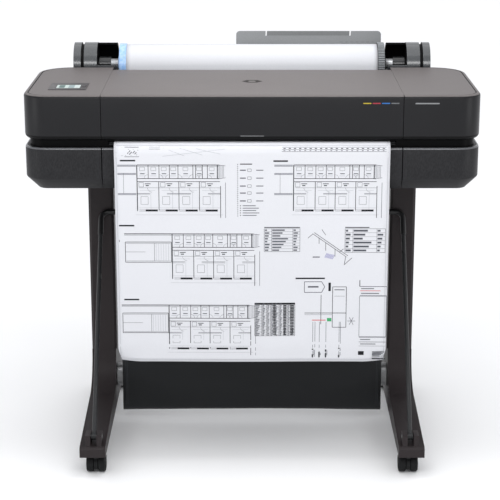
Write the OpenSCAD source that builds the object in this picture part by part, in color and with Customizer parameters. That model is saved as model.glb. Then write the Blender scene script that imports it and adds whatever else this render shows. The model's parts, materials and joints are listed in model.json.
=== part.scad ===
// Large format plotter: a 610 mm roll-fed printer on a stand with casters and a fabric basket.
// Millimetres. X runs right, Y runs back, Z runs up; the origin is on the floor under the middle.

/* [Overall] */
// Width of the printer body
body_w = 1013; // [850:1:1250]
// Height of the deck above the floor
deck_z = 862; // [700:1:1050]
// Height of the body underside above the floor
body_z = 647; // [480:1:760]
// Length of each stand foot, front to back
foot_len = 605; // [520:1:760]
// Height of the top edge of the sheet feeder tray
tray_top_z = 932; // [880:1:1050]

/* [Body shell] */
// Distance from the middle to the front face
body_front = 210; // [170:1:260]
// Distance from the middle to the rear edge of the deck
deck_rear = 178; // [150:1:230]
// Distance from the middle to the rear edge of the lid
lid_rear = 134; // [110:1:140]
// Half width of the lid and of the middle lower cover
seam_x = 333; // [325:1:360]
// Gap between neighbouring covers
seam_gap = 0.4; // [0.2:0.1:1.5]
// Wall thickness of the plastic shells
wall = 3; // [2:0.5:5]
// Front corner radius in plan
front_r = 50; // [20:1:80]
// Rear corner radius in plan
rear_r = 80; // [30:1:120]
// Height of the lower housing, up to the dark slot
lower_h = 98; // [70:1:130]
// Height of the dark slot band
slot_h = 17; // [15:1:40]
// Inset of the slot band behind the shells
slot_in = 11; // [6:1:20]
// Size of the bevel round the underside
chamfer = 28; // [10:1:40]
// Size of the bevel round the deck
deck_bevel = 5; // [2:0.5:8]
// Distance of the deck groove from the edge
groove_in = 9; // [6:0.5:14]
// Width and depth of the deck groove
groove_w = 1; // [0.5:0.1:2]

/* [Paper] */
// Width of the paper roll
media_w = 610; // [420:1:620]
// Outer radius of the loaded paper roll
roll_r = 47; // [30:1:50]
// Radius of the cardboard core
core_r = 28; // [26:0.5:30]
// Wall thickness of the core
core_t = 2.6; // [1.5:0.1:4]
// Thickness of the paper web as a solid
paper_t = 0.8; // [0.4:0.1:1.5]
// Distance of the roll axis behind the middle
roll_y = 231; // [229:1:240]
// Height of the lower edge of the hanging sheet
sheet_bottom = 246; // [150:1:420]
// Distance of the hanging sheet in front of the front face
sheet_off = 8; // [5:1:20]

/* [Stand] */
// Half distance between the inner faces of the feet
foot_x = 333; // [325:1:345]
// Width of a foot
foot_w = 58.5; // [45:0.5:75]
// Height of the underside of the feet
foot_z = 47; // [40:1:60]
// Height of the front end of a foot
foot_tip_h = 23; // [15:1:35]
// Height of a foot where it meets the leg curve
foot_knee_h = 50; // [40:1:70]
// Radius of the curve from foot to leg
knee_r = 90; // [50:1:130]
// Distance of the front of the leg behind the middle
leg_y = 45; // [20:1:80]
// Front to back size of a leg
leg_d = 120; // [80:1:150]
// Sheet thickness of the leg tube
leg_t = 2.5; // [1.5:0.5:5]
// Bevel of the vertical leg edges
leg_bevel = 6; // [2:1:12]
// Height of the crossbar
bar_h = 58; // [30:1:80]
// Front to back size of the crossbar
bar_d = 38; // [20:1:60]

/* [Casters] */
// Radius of a caster wheel
wheel_r = 21; // [18:0.5:22]
// Width over both wheels of a caster
caster_w = 44; // [34:1:50]
// Distance of the swivel from the end of the foot
caster_in = 29.5; // [24:0.5:45]
// Trail of the axle behind the swivel
trail = 8; // [4:0.5:10]

/* [Basket] */
// Half distance between the arms of the hoop
hoop_x = 360; // [350:1:366]
// Radius of the upper hoop tube
hoop_r = 6.5; // [5:0.5:9]
// Radius of the lower rods
rod_r = 5; // [3:0.5:6]
// Centre radius of the hoop bends
bend_r = 18; // [12:1:40]
// Distance of the top bar of the hoop below the body
hoop_drop = 111; // [60:1:200]
// Height of the hoop pivots
pivot_z = 88; // [84:1:96]
// Distance of the pivots from the front end of the foot
pivot_in = 28.5; // [22:0.5:45]
// Half width of the fabric
fabric_x = 322; // [250:1:328]
// Height of the bottom fold of the fabric
fabric_z = 26; // [15:1:60]
// Thickness of the fabric as a solid
fabric_t = 2; // [1:0.5:3]

/* [Clearances] */
// Gap between a running shaft and its bore
run_fit = 0.08; // [0.02:0.01:0.1]
// Gap between pieces that move past each other
move_gap = 0.4; // [0.3:0.1:1]

/* [Hidden] */
$fn = 72;
eps = 0.01;
front_y = -body_front;
half_w = body_w / 2;
slot_z0 = body_z + lower_h;
slot_z1 = slot_z0 + slot_h;
shell_bottom_h = 6;
ledge_t = 3;
ledge_in = slot_in + wall;
seam = seam_x - seam_gap / 2;
side = seam_x + seam_gap / 2;
pan_in = chamfer + wall + seam_gap;
frame_x = half_w - chamfer - wall - 7.5;
frame_t = 3;
frame_end = frame_x - 0.1;
frame_back = deck_rear - 60;
frame_front = front_y + 60;
frame_top = deck_z - 17;

// display
disp_x = 93 - half_w;
disp_y = front_y + 113.5;
disp_w = 85;
disp_rim = 2;
disp_flange = 1.2;
screen_w = 54;
screen_d = 49;
disp_tongue = 5;
screen_y = disp_y - 5;
button_r = 3.5;
button_x = disp_x + 35;

// hinge of the lid
hinge_y = lid_rear - 12;
hinge_z = deck_z - 12;
hinge_r = 3;
hinge_boss = 6;
hinge_x = seam_x - 33;
hinge_w = 8;
beam_z = hinge_z - 38;
beam_y = hinge_y - 22;
beam_d = 28;
beam_h = 10;
rib_x = 180;
rib_t = 2;
rib_h = 8;

// print path
path_z = slot_z0 + 12;
feed_r = 10;
feed_y = 70;
feed_z = path_z - move_gap - feed_r;
feed_shaft_r = 5;
pinch_r = 6;
pinch_z = path_z + paper_t + move_gap + pinch_r;
pinch_shaft_r = 3;
platen_x = media_w / 2 + 13;
platen_top = path_z - 2;
platen_y = front_y + ledge_in + 0.5;
mouth_z = slot_z0 + 4;
mouth_deep = 40;
roll_z = deck_z;
web_y = roll_y - roll_r - move_gap - paper_t;
web_turn_z = roll_z - 36;
hang_y = front_y - sheet_off;

// roll, hubs and supports
roll_x = media_w / 2;
hub_r = 50.5;
hub_w = 17;
hub_plug = 25;
spindle_r = 8;
collar_r = 18;
neck_r = 12;
collar_in = 16;
key_hole_r = 5;
key_hole_at = 16;
hub_sleeve = 25;
hub_lip = 4;
support_x0 = roll_x + hub_w + 6;
support_x1 = support_x0 + 47;
support_x2 = support_x1 + 32;
support_x3 = support_x2 + 7;
support_x4 = support_x3 + 18;
support_r = 52;
support_t = 6;
spindle_end = support_x1 + 17;
trough_r = 57;
trough_t = 3;
trough_x = roll_x + 16;
trough_top = roll_z - 17;
trough_gap_y = min(web_y, roll_y - sqrt(pow(trough_r + trough_t, 2) - pow(roll_z - web_turn_z, 2))) - 3;
rear_z0 = body_z + 53;
rear_z1 = roll_z - 72;
rear_y0 = deck_rear + 0.2;
rear_y1 = roll_y + 51;
rear_x = support_x4 + 8;

// carriage
rail_y = 30;
rail_t = 3;
rod_y = -20;
rod_z = path_z + 43;
guide_r = 6;
car_x = half_w - 116.5;
car_w = 80;
car_y0 = -75;
car_y1 = 2;
car_z0 = path_z + 11;
car_z1 = path_z + 83;
belt_z = path_z + 58;
belt_y0 = 10;
belt_w = 8;
belt_t = 1.5;
pulley_r = 12;
pulley_x = half_w - 60;
pin_r = 2.5;
motor_r = 18;
motor_len = 42;
motor_bore = 32;
head_w = 56;
head_h = 7;
bay_x0 = side + 13;
bay_x1 = side + 133;
bay_y0 = front_y + 34;
bay_y1 = front_y + 115;
bay_wall = 3;
ink_pitch = 29;
ink_w = 27;
tub_wall = 4;
board_y0 = -120;
board_y1 = 60;
board_t = 2;
post_h = 10;
psu_x0 = -300;
psu_x1 = -180;
psu_y1 = 110;
psu_h = 45;
psu_t = 2;
inlet_x = 20;
inlet_w = 40;
inlet_z = rear_z0 + 12;
inlet_h = 28;
port_x = 75;
port_w = 20;
port_z = rear_z0 + 14;
port_h = 16;
belt_in = pulley_r + move_gap;

// feeder
tray_x0 = -39;
tray_x1 = 320;
tray_t = 2.4;
tray_corner = 9;
tray_len = 145;
tray_lean = 3;
tray_y = roll_y + 68;
sleeve_w = 6;
sleeve_t = 8;
sleeve_drop = 97;
sleeve_len = 118;

// stand
foot_mid = foot_x + foot_w / 2;
foot_y = foot_len / 2;
foot_top = foot_z + foot_knee_h;
leg_back = leg_y + leg_d;
leg_z = foot_top + knee_r;
leg_x = foot_x - 2;
bolt_r = 3;
bolt_x = [leg_x + 14, leg_x + foot_w - 11.5];
bolt_y = [leg_y + 15, leg_y + leg_d - 30];
cap_h = 17;
caster_x = foot_mid - 5;
caster_y = foot_y - caster_in;
stem_r = 4;
stem_top = foot_z + 15;
foot_block = 25;
axle_r = 2.5;
hood_top = foot_z - 0.3;
web_half = 4.5;
pivot_y = pivot_in - foot_y;
pivot_r = 4;
eye_r = 8;
eye_half = 6.5;
block_w = 11.5;
block_h = 10;
bar_y = leg_y + 17;
bar_z = foot_z + 33;
hoop_top = body_z - hoop_drop;
hoop_bar_y = leg_y - hoop_r - 0.5;
hoop_dy = hoop_bar_y - pivot_y;
hoop_dz = hoop_top - pivot_z;
hoop_len = sqrt(hoop_dy * hoop_dy + hoop_dz * hoop_dz);
hoop_lean = atan2(hoop_dy, hoop_dz);
sleeve_at = hoop_len - 57;
rod_in = 40;

// a solid bar or tube lying along X
module along_x(x0, x1, r, y, z) {
    translate([x0, y, z])
        rotate([0, 90, 0])
            cylinder(h = x1 - x0, r = r);
}

// a solid bar or tube lying along Y
module along_y(y0, y1, r, x, z) {
    translate([x, y0, z])
        rotate([-90, 0, 0])
            cylinder(h = y1 - y0, r = r);
}

// a box from one corner to the other
module box(a, b) {
    translate(a)
        cube(b - a);
}

// the body block in plan, set in by a distance, with a bevel at the bottom and at the top
module body_block(z0, z1, inset, low, high) {
    hull()
        for (sx = [-1, 1])
            for (c = [[half_w - front_r, front_y + front_r, front_r],
                      [half_w - rear_r, deck_rear - rear_r, rear_r]])
                translate([sx * c[0], c[1], z0]) {
                    cylinder(h = low + eps, r1 = c[2] - inset - low, r2 = c[2] - inset);
                    translate([0, 0, low])
                        cylinder(h = z1 - z0 - low - high, r = c[2] - inset);
                    translate([0, 0, z1 - z0 - high - eps])
                        cylinder(h = high + eps, r1 = c[2] - inset, r2 = c[2] - inset - high);
                }
}

// the body in plan, set in by a distance, as an upright prism
module body_prism(z0, z1, inset) {
    x = half_w - inset;
    y0 = front_y + inset;
    y1 = deck_rear - inset;
    fr = front_r - inset;
    rr = rear_r - inset;
    translate([0, 0, z0])
        linear_extrude(height = z1 - z0) {
            polygon([[x - fr, y0], [x, y0 + fr], [x, y1 - rr], [x - rr, y1],
                     [rr - x, y1], [-x, y1 - rr], [-x, y0 + fr], [fr - x, y0]]);
            for (sx = [-1, 1]) {
                translate([sx * (x - fr), y0 + fr])
                    circle(r = fr);
                translate([sx * (x - rr), y1 - rr])
                    circle(r = rr);
            }
        }
}

// the lower housing as one shell
module lower_shell() {
    difference() {
        body_block(body_z, slot_z0, 0, chamfer, 0);
        body_block(body_z + 1, slot_z0 - ledge_t, wall, chamfer, 0);
        body_prism(slot_z0 - ledge_t - 1, slot_z0 + 1, ledge_in);
        body_prism(body_z - 1, body_z + 4, chamfer + wall);
    }
}

// the upper housing as one shell
module upper_shell() {
    difference() {
        body_block(slot_z1, deck_z, 0, shell_bottom_h, deck_bevel);
        body_block(slot_z1 + ledge_t, deck_z - wall, wall, wall, wall);
        body_prism(slot_z1 - 1, slot_z1 + ledge_t + 1, ledge_in);
        difference() {
            body_prism(deck_z - groove_w, deck_z + 1, groove_in);
            body_prism(deck_z - groove_w - 1, deck_z + 2, groove_in + groove_w);
        }
    }
}

module side_half() {
    intersection() {
        upper_shell();
        box([side, front_y - 1, slot_z1 - 1], [half_w + 1, deck_rear + 1, deck_z + 1]);
    }
    box([side, front_y + wall, slot_z1 + ledge_t], [side + wall, front_y + 120, deck_z - wall]);
}

module side_housing_right() {
    color("#8b8785")
        side_half();
}

module side_housing_left() {
    color("#8b8785")
        difference() {
            mirror([1, 0, 0])
                side_half();
            box([disp_x - disp_w / 2 + disp_rim, disp_y - disp_w / 2 + disp_rim, deck_z - wall - 1],
                [disp_x + disp_w / 2 - disp_rim, disp_y + disp_w / 2 - disp_rim, deck_z + 1]);
        }
}

module lid() {
    color("#949290") {
        intersection() {
            upper_shell();
            box([-seam, front_y - 1, slot_z1 + move_gap], [seam, lid_rear, deck_z + 1]);
        }
        for (sx = [-1, 1])
            difference() {
                union() {
                    box([sx * hinge_x - hinge_w / 2, hinge_y - hinge_boss, hinge_z],
                        [sx * hinge_x + hinge_w / 2, hinge_y + hinge_boss, deck_z - wall + eps]);
                    along_x(sx * hinge_x - hinge_w / 2, sx * hinge_x + hinge_w / 2,
                            hinge_boss, hinge_y, hinge_z);
                }
                along_x(sx * hinge_x - hinge_w, sx * hinge_x + hinge_w,
                        hinge_r + run_fit, hinge_y, hinge_z);
            }
        for (x = [-rib_x, 0, rib_x])
            box([x - rib_t / 2, front_y + 30, deck_z - wall - rib_h],
                [x + rib_t / 2, hinge_y - 20, deck_z - wall + eps]);
    }
}

module lid_hinges() {
    color("#55585a") {
        box([-frame_end, beam_y, beam_z], [frame_end, beam_y + beam_d, beam_z + beam_h]);
        for (sx = [-1, 1]) {
            x0 = sx * (hinge_x - hinge_w - 1);
            box([x0 - hinge_w / 2, hinge_y - 8, beam_z + beam_h - eps],
                [x0 + hinge_w / 2, hinge_y + 2, hinge_z]);
            along_x(x0 - hinge_w / 2, x0 + hinge_w / 2, hinge_boss - 0.5, hinge_y, hinge_z);
            along_x(min(x0, sx * (hinge_x + hinge_w / 2 + 1)), max(x0, sx * (hinge_x + hinge_w / 2 + 1)),
                    hinge_r, hinge_y, hinge_z);
        }
    }
}

module lower_cover_centre() {
    color("#343436")
        intersection() {
            lower_shell();
            box([-seam, front_y - 1, body_z - 1], [seam, deck_rear + 1, slot_z0 + 1]);
        }
}

module lower_side() {
    intersection() {
        lower_shell();
        box([side, front_y - 1, body_z - 1], [half_w + 1, deck_rear + 1, slot_z0 + 1]);
    }
}

module lower_cover_right() {
    color("#343436")
        lower_side();
}

module lower_cover_left() {
    color("#343436")
        mirror([1, 0, 0])
            lower_side();
}

module slot_liner() {
    color("#121314")
        difference() {
            body_prism(slot_z0, slot_z1, slot_in);
            body_prism(slot_z0 - 1, slot_z1 + 1, ledge_in);
            box([-platen_x, front_y - 1, mouth_z], [platen_x, front_y + mouth_deep, slot_z1 - ledge_t]);
        }
}

module base_pan() {
    color("#3a3a3c")
        difference() {
            body_prism(body_z, body_z + wall, pan_in);
            for (sx = [-1, 1])
                for (x = bolt_x)
                    for (y = bolt_y)
                        translate([sx * x, y, body_z - 1])
                            cylinder(h = wall + 2, r = bolt_r + run_fit);
        }
}

module frame_plates() {
    color("#a4a8aa")
        for (sx = [-1, 1])
            difference() {
                box([min(sx * frame_x, sx * (frame_x + frame_t)), frame_front, body_z + wall],
                    [max(sx * frame_x, sx * (frame_x + frame_t)), frame_back, frame_top]);
                along_x(min(sx * (frame_x - 1), sx * (frame_x + 5)), max(sx * (frame_x - 1), sx * (frame_x + 5)),
                        feed_shaft_r + run_fit, feed_y, feed_z);
                along_x(min(sx * (frame_x - 1), sx * (frame_x + 5)), max(sx * (frame_x - 1), sx * (frame_x + 5)),
                        pinch_shaft_r + run_fit, feed_y, pinch_z);
            }
}

module display_frame() {
    color("#17181a")
        difference() {
            union() {
                box([disp_x - disp_w / 2, disp_y - disp_w / 2, deck_z],
                    [disp_x + disp_w / 2, disp_y + disp_w / 2, deck_z + disp_flange]);
                box([disp_x - disp_w / 2 + disp_rim + seam_gap, disp_y - disp_w / 2 + disp_rim + seam_gap,
                     deck_z - disp_tongue],
                    [disp_x + disp_w / 2 - disp_rim - seam_gap, disp_y + disp_w / 2 - disp_rim - seam_gap,
                     deck_z + eps]);
            }
            box([disp_x - screen_w / 2, screen_y - screen_d / 2, deck_z - 1],
                [disp_x + screen_w / 2, screen_y + screen_d / 2, deck_z + 2]);
            translate([button_x, screen_y, deck_z - 2])
                cylinder(h = 5, r = button_r + move_gap);
        }
}

module display_screen() {
    color("#2d5e68")
        box([disp_x - screen_w / 2 + 0.2, screen_y - screen_d / 2 + 0.2, deck_z - 1],
            [disp_x + screen_w / 2 - 0.2, screen_y + screen_d / 2 - 0.2, deck_z + disp_flange - 0.2]);
}

module power_button() {
    color("#26282a")
        translate([button_x, screen_y, deck_z - 0.8])
            cylinder(h = disp_flange + 1.4, r = button_r);
}

module rear_cover() {
    color("#2b2c2e")
        difference() {
            box([-rear_x, rear_y0, rear_z0], [rear_x, rear_y1, rear_z1]);
            box([-rear_x + wall, rear_y0 + wall, rear_z0 - 1],
                [rear_x - wall, rear_y1 - wall, rear_z1 - wall]);
            box([inlet_x - rear_x, rear_y1 - wall - 1, inlet_z],
                [inlet_x + inlet_w - rear_x, rear_y1 + 1, inlet_z + inlet_h]);
            box([port_x - rear_x, rear_y1 - wall - 1, port_z],
                [port_x + port_w - rear_x, rear_y1 + 1, port_z + port_h]);
        }
}

module rear_ports() {
    color("#111213") {
        difference() {
            box([inlet_x - rear_x, rear_y1 - 22, inlet_z], [inlet_x + inlet_w - rear_x, rear_y1, inlet_z + inlet_h]);
            box([inlet_x + 8 - rear_x, rear_y1 - 16, inlet_z + 5],
                [inlet_x + inlet_w - 8 - rear_x, rear_y1 + 1, inlet_z + inlet_h - 6]);
        }
        for (x = [inlet_x + 14 : 6 : inlet_x + 26])
            box([x - 1 - rear_x, rear_y1 - 17, inlet_z + 10], [x + 1 - rear_x, rear_y1 - 4, inlet_z + 16]);
        difference() {
            box([port_x - rear_x, rear_y1 - 18, port_z], [port_x + port_w - rear_x, rear_y1, port_z + port_h]);
            box([port_x + 3 - rear_x, rear_y1 - 14, port_z + 3],
                [port_x + port_w - 3 - rear_x, rear_y1 + 1, port_z + port_h - 3]);
        }
    }
}

module rear_trough() {
    color("#1c1d1f") {
        difference() {
            along_x(-trough_x, trough_x, trough_r + trough_t, roll_y, roll_z);
            along_x(-trough_x - 1, trough_x + 1, trough_r, roll_y, roll_z);
            box([-trough_x - 1, 0, trough_top], [trough_x + 1, 400, roll_z + 100]);
            box([-roll_x - 5, trough_gap_y, roll_z - 60], [roll_x + 5, web_y + 4, roll_z]);
        }
        for (sx = [-1, 1])
            difference() {
                box([sx * (trough_x - 3) - 3, roll_y - 46, rear_z1], [sx * (trough_x - 3) + 3, roll_y + 46, roll_z - 30]);
                along_x(sx * trough_x - 10, sx * trough_x + 10, trough_r + trough_t - 1, roll_y, roll_z);
            }
        difference() {
            box([-trough_x, lid_rear + 6, trough_top - 3], [trough_x, roll_y - trough_r + 6, trough_top]);
            along_x(-trough_x - 1, trough_x + 1, trough_r + 1, roll_y, roll_z);
        }
    }
}

module support_half() {
    difference() {
        union() {
            along_x(support_x0, support_x1 + 1, support_r - 1, roll_y, roll_z);
            along_x(support_x1, support_x2, support_r, roll_y, roll_z);
            along_x(support_x2 - 1, support_x3 + 1, support_r - 5, roll_y, roll_z);
            along_x(support_x3, support_x4, support_r, roll_y, roll_z);
            box([support_x1, roll_y - 30, rear_z1], [support_x4, roll_y + 30, roll_z - 20]);
        }
        along_x(support_x0 - 1, support_x1, support_r - support_t, roll_y, roll_z);
        box([support_x0 - 1, roll_y - 80, roll_z + 4], [support_x1, roll_y, roll_z + 80]);
        along_x(support_x1 - 1, spindle_end + 1, spindle_r + run_fit, roll_y, roll_z);
    }
}

module roll_support_right() {
    color("#101112")
        support_half();
}

module roll_support_left() {
    color("#101112")
        mirror([1, 0, 0])
            support_half();
}

module spindle_rod() {
    color("#b9bbbc") {
        along_x(-spindle_end, spindle_end, spindle_r, roll_y, roll_z);
        for (sx = [-1, 1]) {
            along_x(min(sx * (support_x0 + collar_in), sx * (support_x1 - 2)),
                    max(sx * (support_x0 + collar_in), sx * (support_x1 - 2)), collar_r, roll_y, roll_z);
            along_x(min(sx * (roll_x + hub_w + hub_lip), sx * (support_x0 + collar_in + eps)),
                    max(sx * (roll_x + hub_w + hub_lip), sx * (support_x0 + collar_in + eps)),
                    neck_r, roll_y, roll_z);
        }
    }
}

module hub_half(r) {
    difference() {
        union() {
            along_x(roll_x, roll_x + hub_w, r, roll_y, roll_z);
            along_x(roll_x - hub_sleeve, roll_x + 1, core_r - core_t, roll_y, roll_z);
            along_x(roll_x + hub_w - 1, roll_x + hub_w + hub_lip, hub_plug - 5, roll_y, roll_z);
        }
        along_x(roll_x - hub_sleeve - 5, roll_x + hub_w + hub_lip + 1, spindle_r, roll_y, roll_z);
        for (a = [0:60:300])
            translate([0, roll_y, roll_z])
                rotate([a, 0, 0])
                    along_x(roll_x - hub_sleeve - 5, roll_x + hub_w - hub_lip, key_hole_r, 0, key_hole_at);
    }
}

module spindle_hub_blue() {
    color("#5b8fc4")
        mirror([1, 0, 0])
            hub_half(hub_r - 1.5);
}

module spindle_hub_grey() {
    color("#8e9396")
        hub_half(hub_r);
}

module roll_core() {
    color("#b08a5c")
        difference() {
            along_x(-roll_x, roll_x, core_r, roll_y, roll_z);
            along_x(-roll_x - 1, roll_x + 1, core_r - core_t, roll_y, roll_z);
        }
}

module paper_roll() {
    color("#f2f2f0")
        difference() {
            along_x(-roll_x, roll_x, roll_r, roll_y, roll_z);
            along_x(-roll_x - 1, roll_x + 1, core_r, roll_y, roll_z);
        }
}

// the web from the roll, over the rollers and the platen, to the hanging sheet
module printed_sheet() {
    color("#f6f6f4")
        translate([-roll_x, 0, 0])
            rotate([90, 0, 90])
                linear_extrude(height = media_w)
                    polygon([
                        [web_y, roll_z], [web_y, web_turn_z + 0.5],
                        [feed_y + 8, path_z + 2 + paper_t], [feed_y + 2, path_z + paper_t],
                        [front_y - 0.2, path_z + paper_t], [hang_y - paper_t, path_z - 5.5],
                        [hang_y - 4 - paper_t, path_z - 20], [hang_y - paper_t, path_z - 60],
                        [hang_y - paper_t, sheet_bottom + 40], [hang_y + 8 - paper_t, sheet_bottom],
                        [hang_y + 8, sheet_bottom], [hang_y, sheet_bottom + 40], [hang_y, path_z - 60],
                        [hang_y - 4, path_z - 20], [hang_y, path_z - 6], [front_y, path_z],
                        [feed_y + 2, path_z], [feed_y + 8, path_z + 2],
                        [web_y + paper_t, web_turn_z], [web_y + paper_t, roll_z]]);
}

module platen() {
    color("#232426") {
        box([-platen_x, platen_y, slot_z0 + 1], [platen_x, feed_y - feed_r - 3, platen_top - 3]);
        for (y = [platen_y + 6 : 30 : feed_y - feed_r - 12])
            box([-platen_x, y, platen_top - 3 - eps], [platen_x, y + 2, platen_top]);
        for (sx = [-1, 1])
            box([sx * 200 - 5, platen_y + 60, body_z + wall], [sx * 200 + 5, platen_y + 160, slot_z0 + 1 + eps]);
    }
}

module feed_roller() {
    color("#3c3c3c") {
        along_x(-frame_x - frame_t, frame_x + frame_t, feed_shaft_r, feed_y, feed_z);
        along_x(-platen_x, platen_x, feed_r, feed_y, feed_z);
    }
}

module pinch_wheels() {
    color("#4a4a4a") {
        along_x(-frame_x - frame_t, frame_x + frame_t, pinch_shaft_r, feed_y, pinch_z);
        for (x = [-250:100:250])
            along_x(x - 20, x + 20, pinch_r, feed_y, pinch_z);
    }
}

module carriage_rail() {
    color("#a4a8aa")
        difference() {
            union() {
                box([-frame_end, rail_y, path_z + 18], [frame_end, rail_y + rail_t, path_z + 88]);
                box([-frame_end, rail_y, path_z + 85], [frame_end, rail_y + 30, path_z + 88]);
                along_y(belt_y0 - 2, rail_y + 1, pin_r, pulley_x, belt_z);
            }
            along_y(rail_y - 1, rail_y + rail_t + 1, pin_r + move_gap, -pulley_x, belt_z);
        }
}

module carriage_rod() {
    color("#c9cbcc")
        along_x(-frame_end, frame_end, guide_r, rod_y, rod_z);
}

module carriage() {
    color("#1f2022")
        difference() {
            union() {
                box([car_x - car_w / 2, car_y0, car_z0], [car_x + car_w / 2, car_y1, car_z1]);
                box([car_x - 12, car_y1 - 1, belt_z + belt_in - 6],
                    [car_x + 12, belt_y0 + belt_w + 3, belt_z + belt_in + belt_t + 5]);
            }
            along_x(car_x - car_w, car_x + car_w, guide_r + run_fit, rod_y, rod_z);
            box([car_x - 13, belt_y0 - move_gap, belt_z + belt_in - move_gap],
                [car_x + 13, belt_y0 + belt_w + move_gap, belt_z + belt_in + belt_t + move_gap]);
            box([car_x - car_w / 2 + 4, car_y0 + 4, car_z0 + 30],
                [car_x + car_w / 2 - 4, rod_y - guide_r - 6, car_z1 + 1]);
        }
}

module printhead() {
    color("#b8a06a")
        box([car_x - head_w / 2, car_y0 + 10, car_z0 - head_h], [car_x + head_w / 2, car_y0 + 50, car_z0]);
}

module carriage_belt() {
    color("#151515")
        translate([0, belt_y0, belt_z])
            rotate([-90, 0, 0])
                linear_extrude(height = belt_w)
                    difference() {
                        union() {
                            square([2 * pulley_x, 2 * (belt_in + belt_t)], center = true);
                            for (sx = [-1, 1])
                                translate([sx * pulley_x, 0])
                                    circle(r = belt_in + belt_t);
                        }
                        square([2 * pulley_x, 2 * belt_in], center = true);
                        for (sx = [-1, 1])
                            translate([sx * pulley_x, 0])
                                circle(r = belt_in);
                    }
}

module carriage_motor() {
    color("#303234")
        difference() {
            along_y(rail_y + rail_t, rail_y + rail_t + motor_len, motor_r, -pulley_x, belt_z);
            along_y(rail_y, rail_y + rail_t + motor_bore, pin_r + run_fit, -pulley_x, belt_z);
        }
}

module drive_pulley() {
    color("#c0c2c3") {
        along_y(belt_y0 - 1, belt_y0 + belt_w + 1, pulley_r, -pulley_x, belt_z);
        along_y(belt_y0 + belt_w, rail_y + rail_t + motor_bore - 2, pin_r, -pulley_x, belt_z);
    }
}

module idler_pulley() {
    color("#c0c2c3")
        difference() {
            along_y(belt_y0 - 1, belt_y0 + belt_w + 1, pulley_r, pulley_x, belt_z);
            along_y(belt_y0 - 3, belt_y0 + belt_w + 3, pin_r + run_fit, pulley_x, belt_z);
        }
}

module service_station() {
    color("#2c2d2f")
        difference() {
            box([car_x - car_w / 2, car_y0 + 3, body_z + wall], [car_x + car_w / 2, car_y1 + 3, path_z - 2]);
            box([car_x - car_w / 2 + tub_wall, car_y0 + 3 + tub_wall, body_z + wall + tub_wall],
                [car_x + car_w / 2 - tub_wall, car_y1 + 3 - tub_wall, path_z - 1]);
        }
}

module ink_bay() {
    color("#26272a")
        difference() {
            box([bay_x0, bay_y0, body_z + 5], [bay_x1, bay_y1, slot_z0 - 7]);
            for (i = [0:3])
                box([bay_x0 + bay_wall + i * ink_pitch, bay_y0 - 1, body_z + 9],
                    [bay_x0 + bay_wall + ink_w + i * ink_pitch, bay_y1 - bay_wall, slot_z0 - 6]);
        }
}

module ink_cartridges() {
    color("#8a5a2c")
        for (i = [0:3])
            box([bay_x0 + bay_wall + 0.5 + i * ink_pitch, bay_y0 + 2, body_z + 9.3],
                [bay_x0 + bay_wall + ink_w - 0.5 + i * ink_pitch, bay_y1 - bay_wall - 1, slot_z0 - 20]);
}

module main_board() {
    color("#2f6b45") {
        box([-frame_x + 10, board_y0, body_z + wall + post_h],
            [-side - 12, board_y1, body_z + wall + post_h + board_t]);
        for (x = [-frame_x + 16, -side - 18])
            for (y = [board_y0 + 8, board_y1 - 8])
                translate([x, y, body_z + wall])
                    cylinder(h = post_h + eps, r = 3);
        box([-frame_x + 40, -80, body_z + 15 - eps], [-frame_x + 70, -50, body_z + 19]);
        box([-frame_x + 80, 0, body_z + 15 - eps], [-frame_x + 110, 40, body_z + 27]);
    }
}

module power_supply() {
    color("#9a9da0")
        difference() {
            box([psu_x0, 0, body_z + wall], [psu_x1, psu_y1, body_z + wall + psu_h]);
            box([psu_x0 + psu_t, psu_t, body_z + wall + psu_t],
                [psu_x1 - psu_t, psu_y1 - psu_t, body_z + wall + psu_h - psu_t]);
            for (x = [psu_x0 + 10 : 10 : psu_x1 - 10])
                box([x, 20, body_z + wall + psu_h - 8], [x + 5, psu_y1 - 20, body_z + wall + psu_h + 1]);
        }
}

module feeder_tray() {
    color("#969696")
        translate([tray_x0, tray_y, tray_top_z])
            rotate([-tray_lean, 0, 0])
                translate([0, -tray_t / 2, -tray_len])
                    union() {
                        cube([tray_x1 - tray_x0, tray_t, tray_len - tray_corner]);
                        translate([tray_corner, 0, 0])
                            cube([tray_x1 - tray_x0 - 2 * tray_corner, tray_t, tray_len]);
                        for (x = [tray_corner, tray_x1 - tray_x0 - tray_corner])
                            translate([x, 0, tray_len - tray_corner])
                                rotate([-90, 0, 0])
                                    cylinder(h = tray_t, r = tray_corner);
                    }
}

module feeder_sleeve() {
    color("#1c1d1f") {
        translate([0, tray_y, tray_top_z])
            rotate([-tray_lean, 0, 0])
                translate([0, 0, -sleeve_drop - sleeve_len])
                    difference() {
                        translate([tray_x0 - sleeve_w, -sleeve_t / 2, 0])
                            cube([tray_x1 - tray_x0 + 2 * sleeve_w, sleeve_t, sleeve_len]);
                        translate([tray_x0 - move_gap, -tray_t / 2 - move_gap, -1])
                            cube([tray_x1 - tray_x0 + 2 * move_gap, tray_t + 2 * move_gap, sleeve_len + 2]);
                    }
        for (x = [tray_x0 + 40, tray_x1 - 60])
            box([x, rear_y1, rear_z0 + 35], [x + 20, rear_y1 + 3.5, rear_z0 + 55]);
    }
}

// Side view of the space inside the folded foot, open to the floor and closed under the leg
module foot_hollow() {
    end_y = caster_y - foot_block;
    rise = (foot_knee_h - foot_tip_h - 2) * (foot_y - 6 - end_y) / (foot_y - 6 + leg_y - knee_r);
    difference() {
        polygon([
            [-end_y, foot_z - 1], [end_y, foot_z - 1], [end_y, leg_z - wall],
            [leg_y - knee_r, leg_z - wall], [leg_y - knee_r, foot_top - wall],
            [-end_y, foot_z + foot_tip_h + 2 + rise - wall]]);
        translate([leg_y - knee_r, leg_z])
            circle(r = knee_r + wall);
        translate([leg_back + knee_r, leg_z])
            circle(r = knee_r + wall);
    }
}

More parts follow.
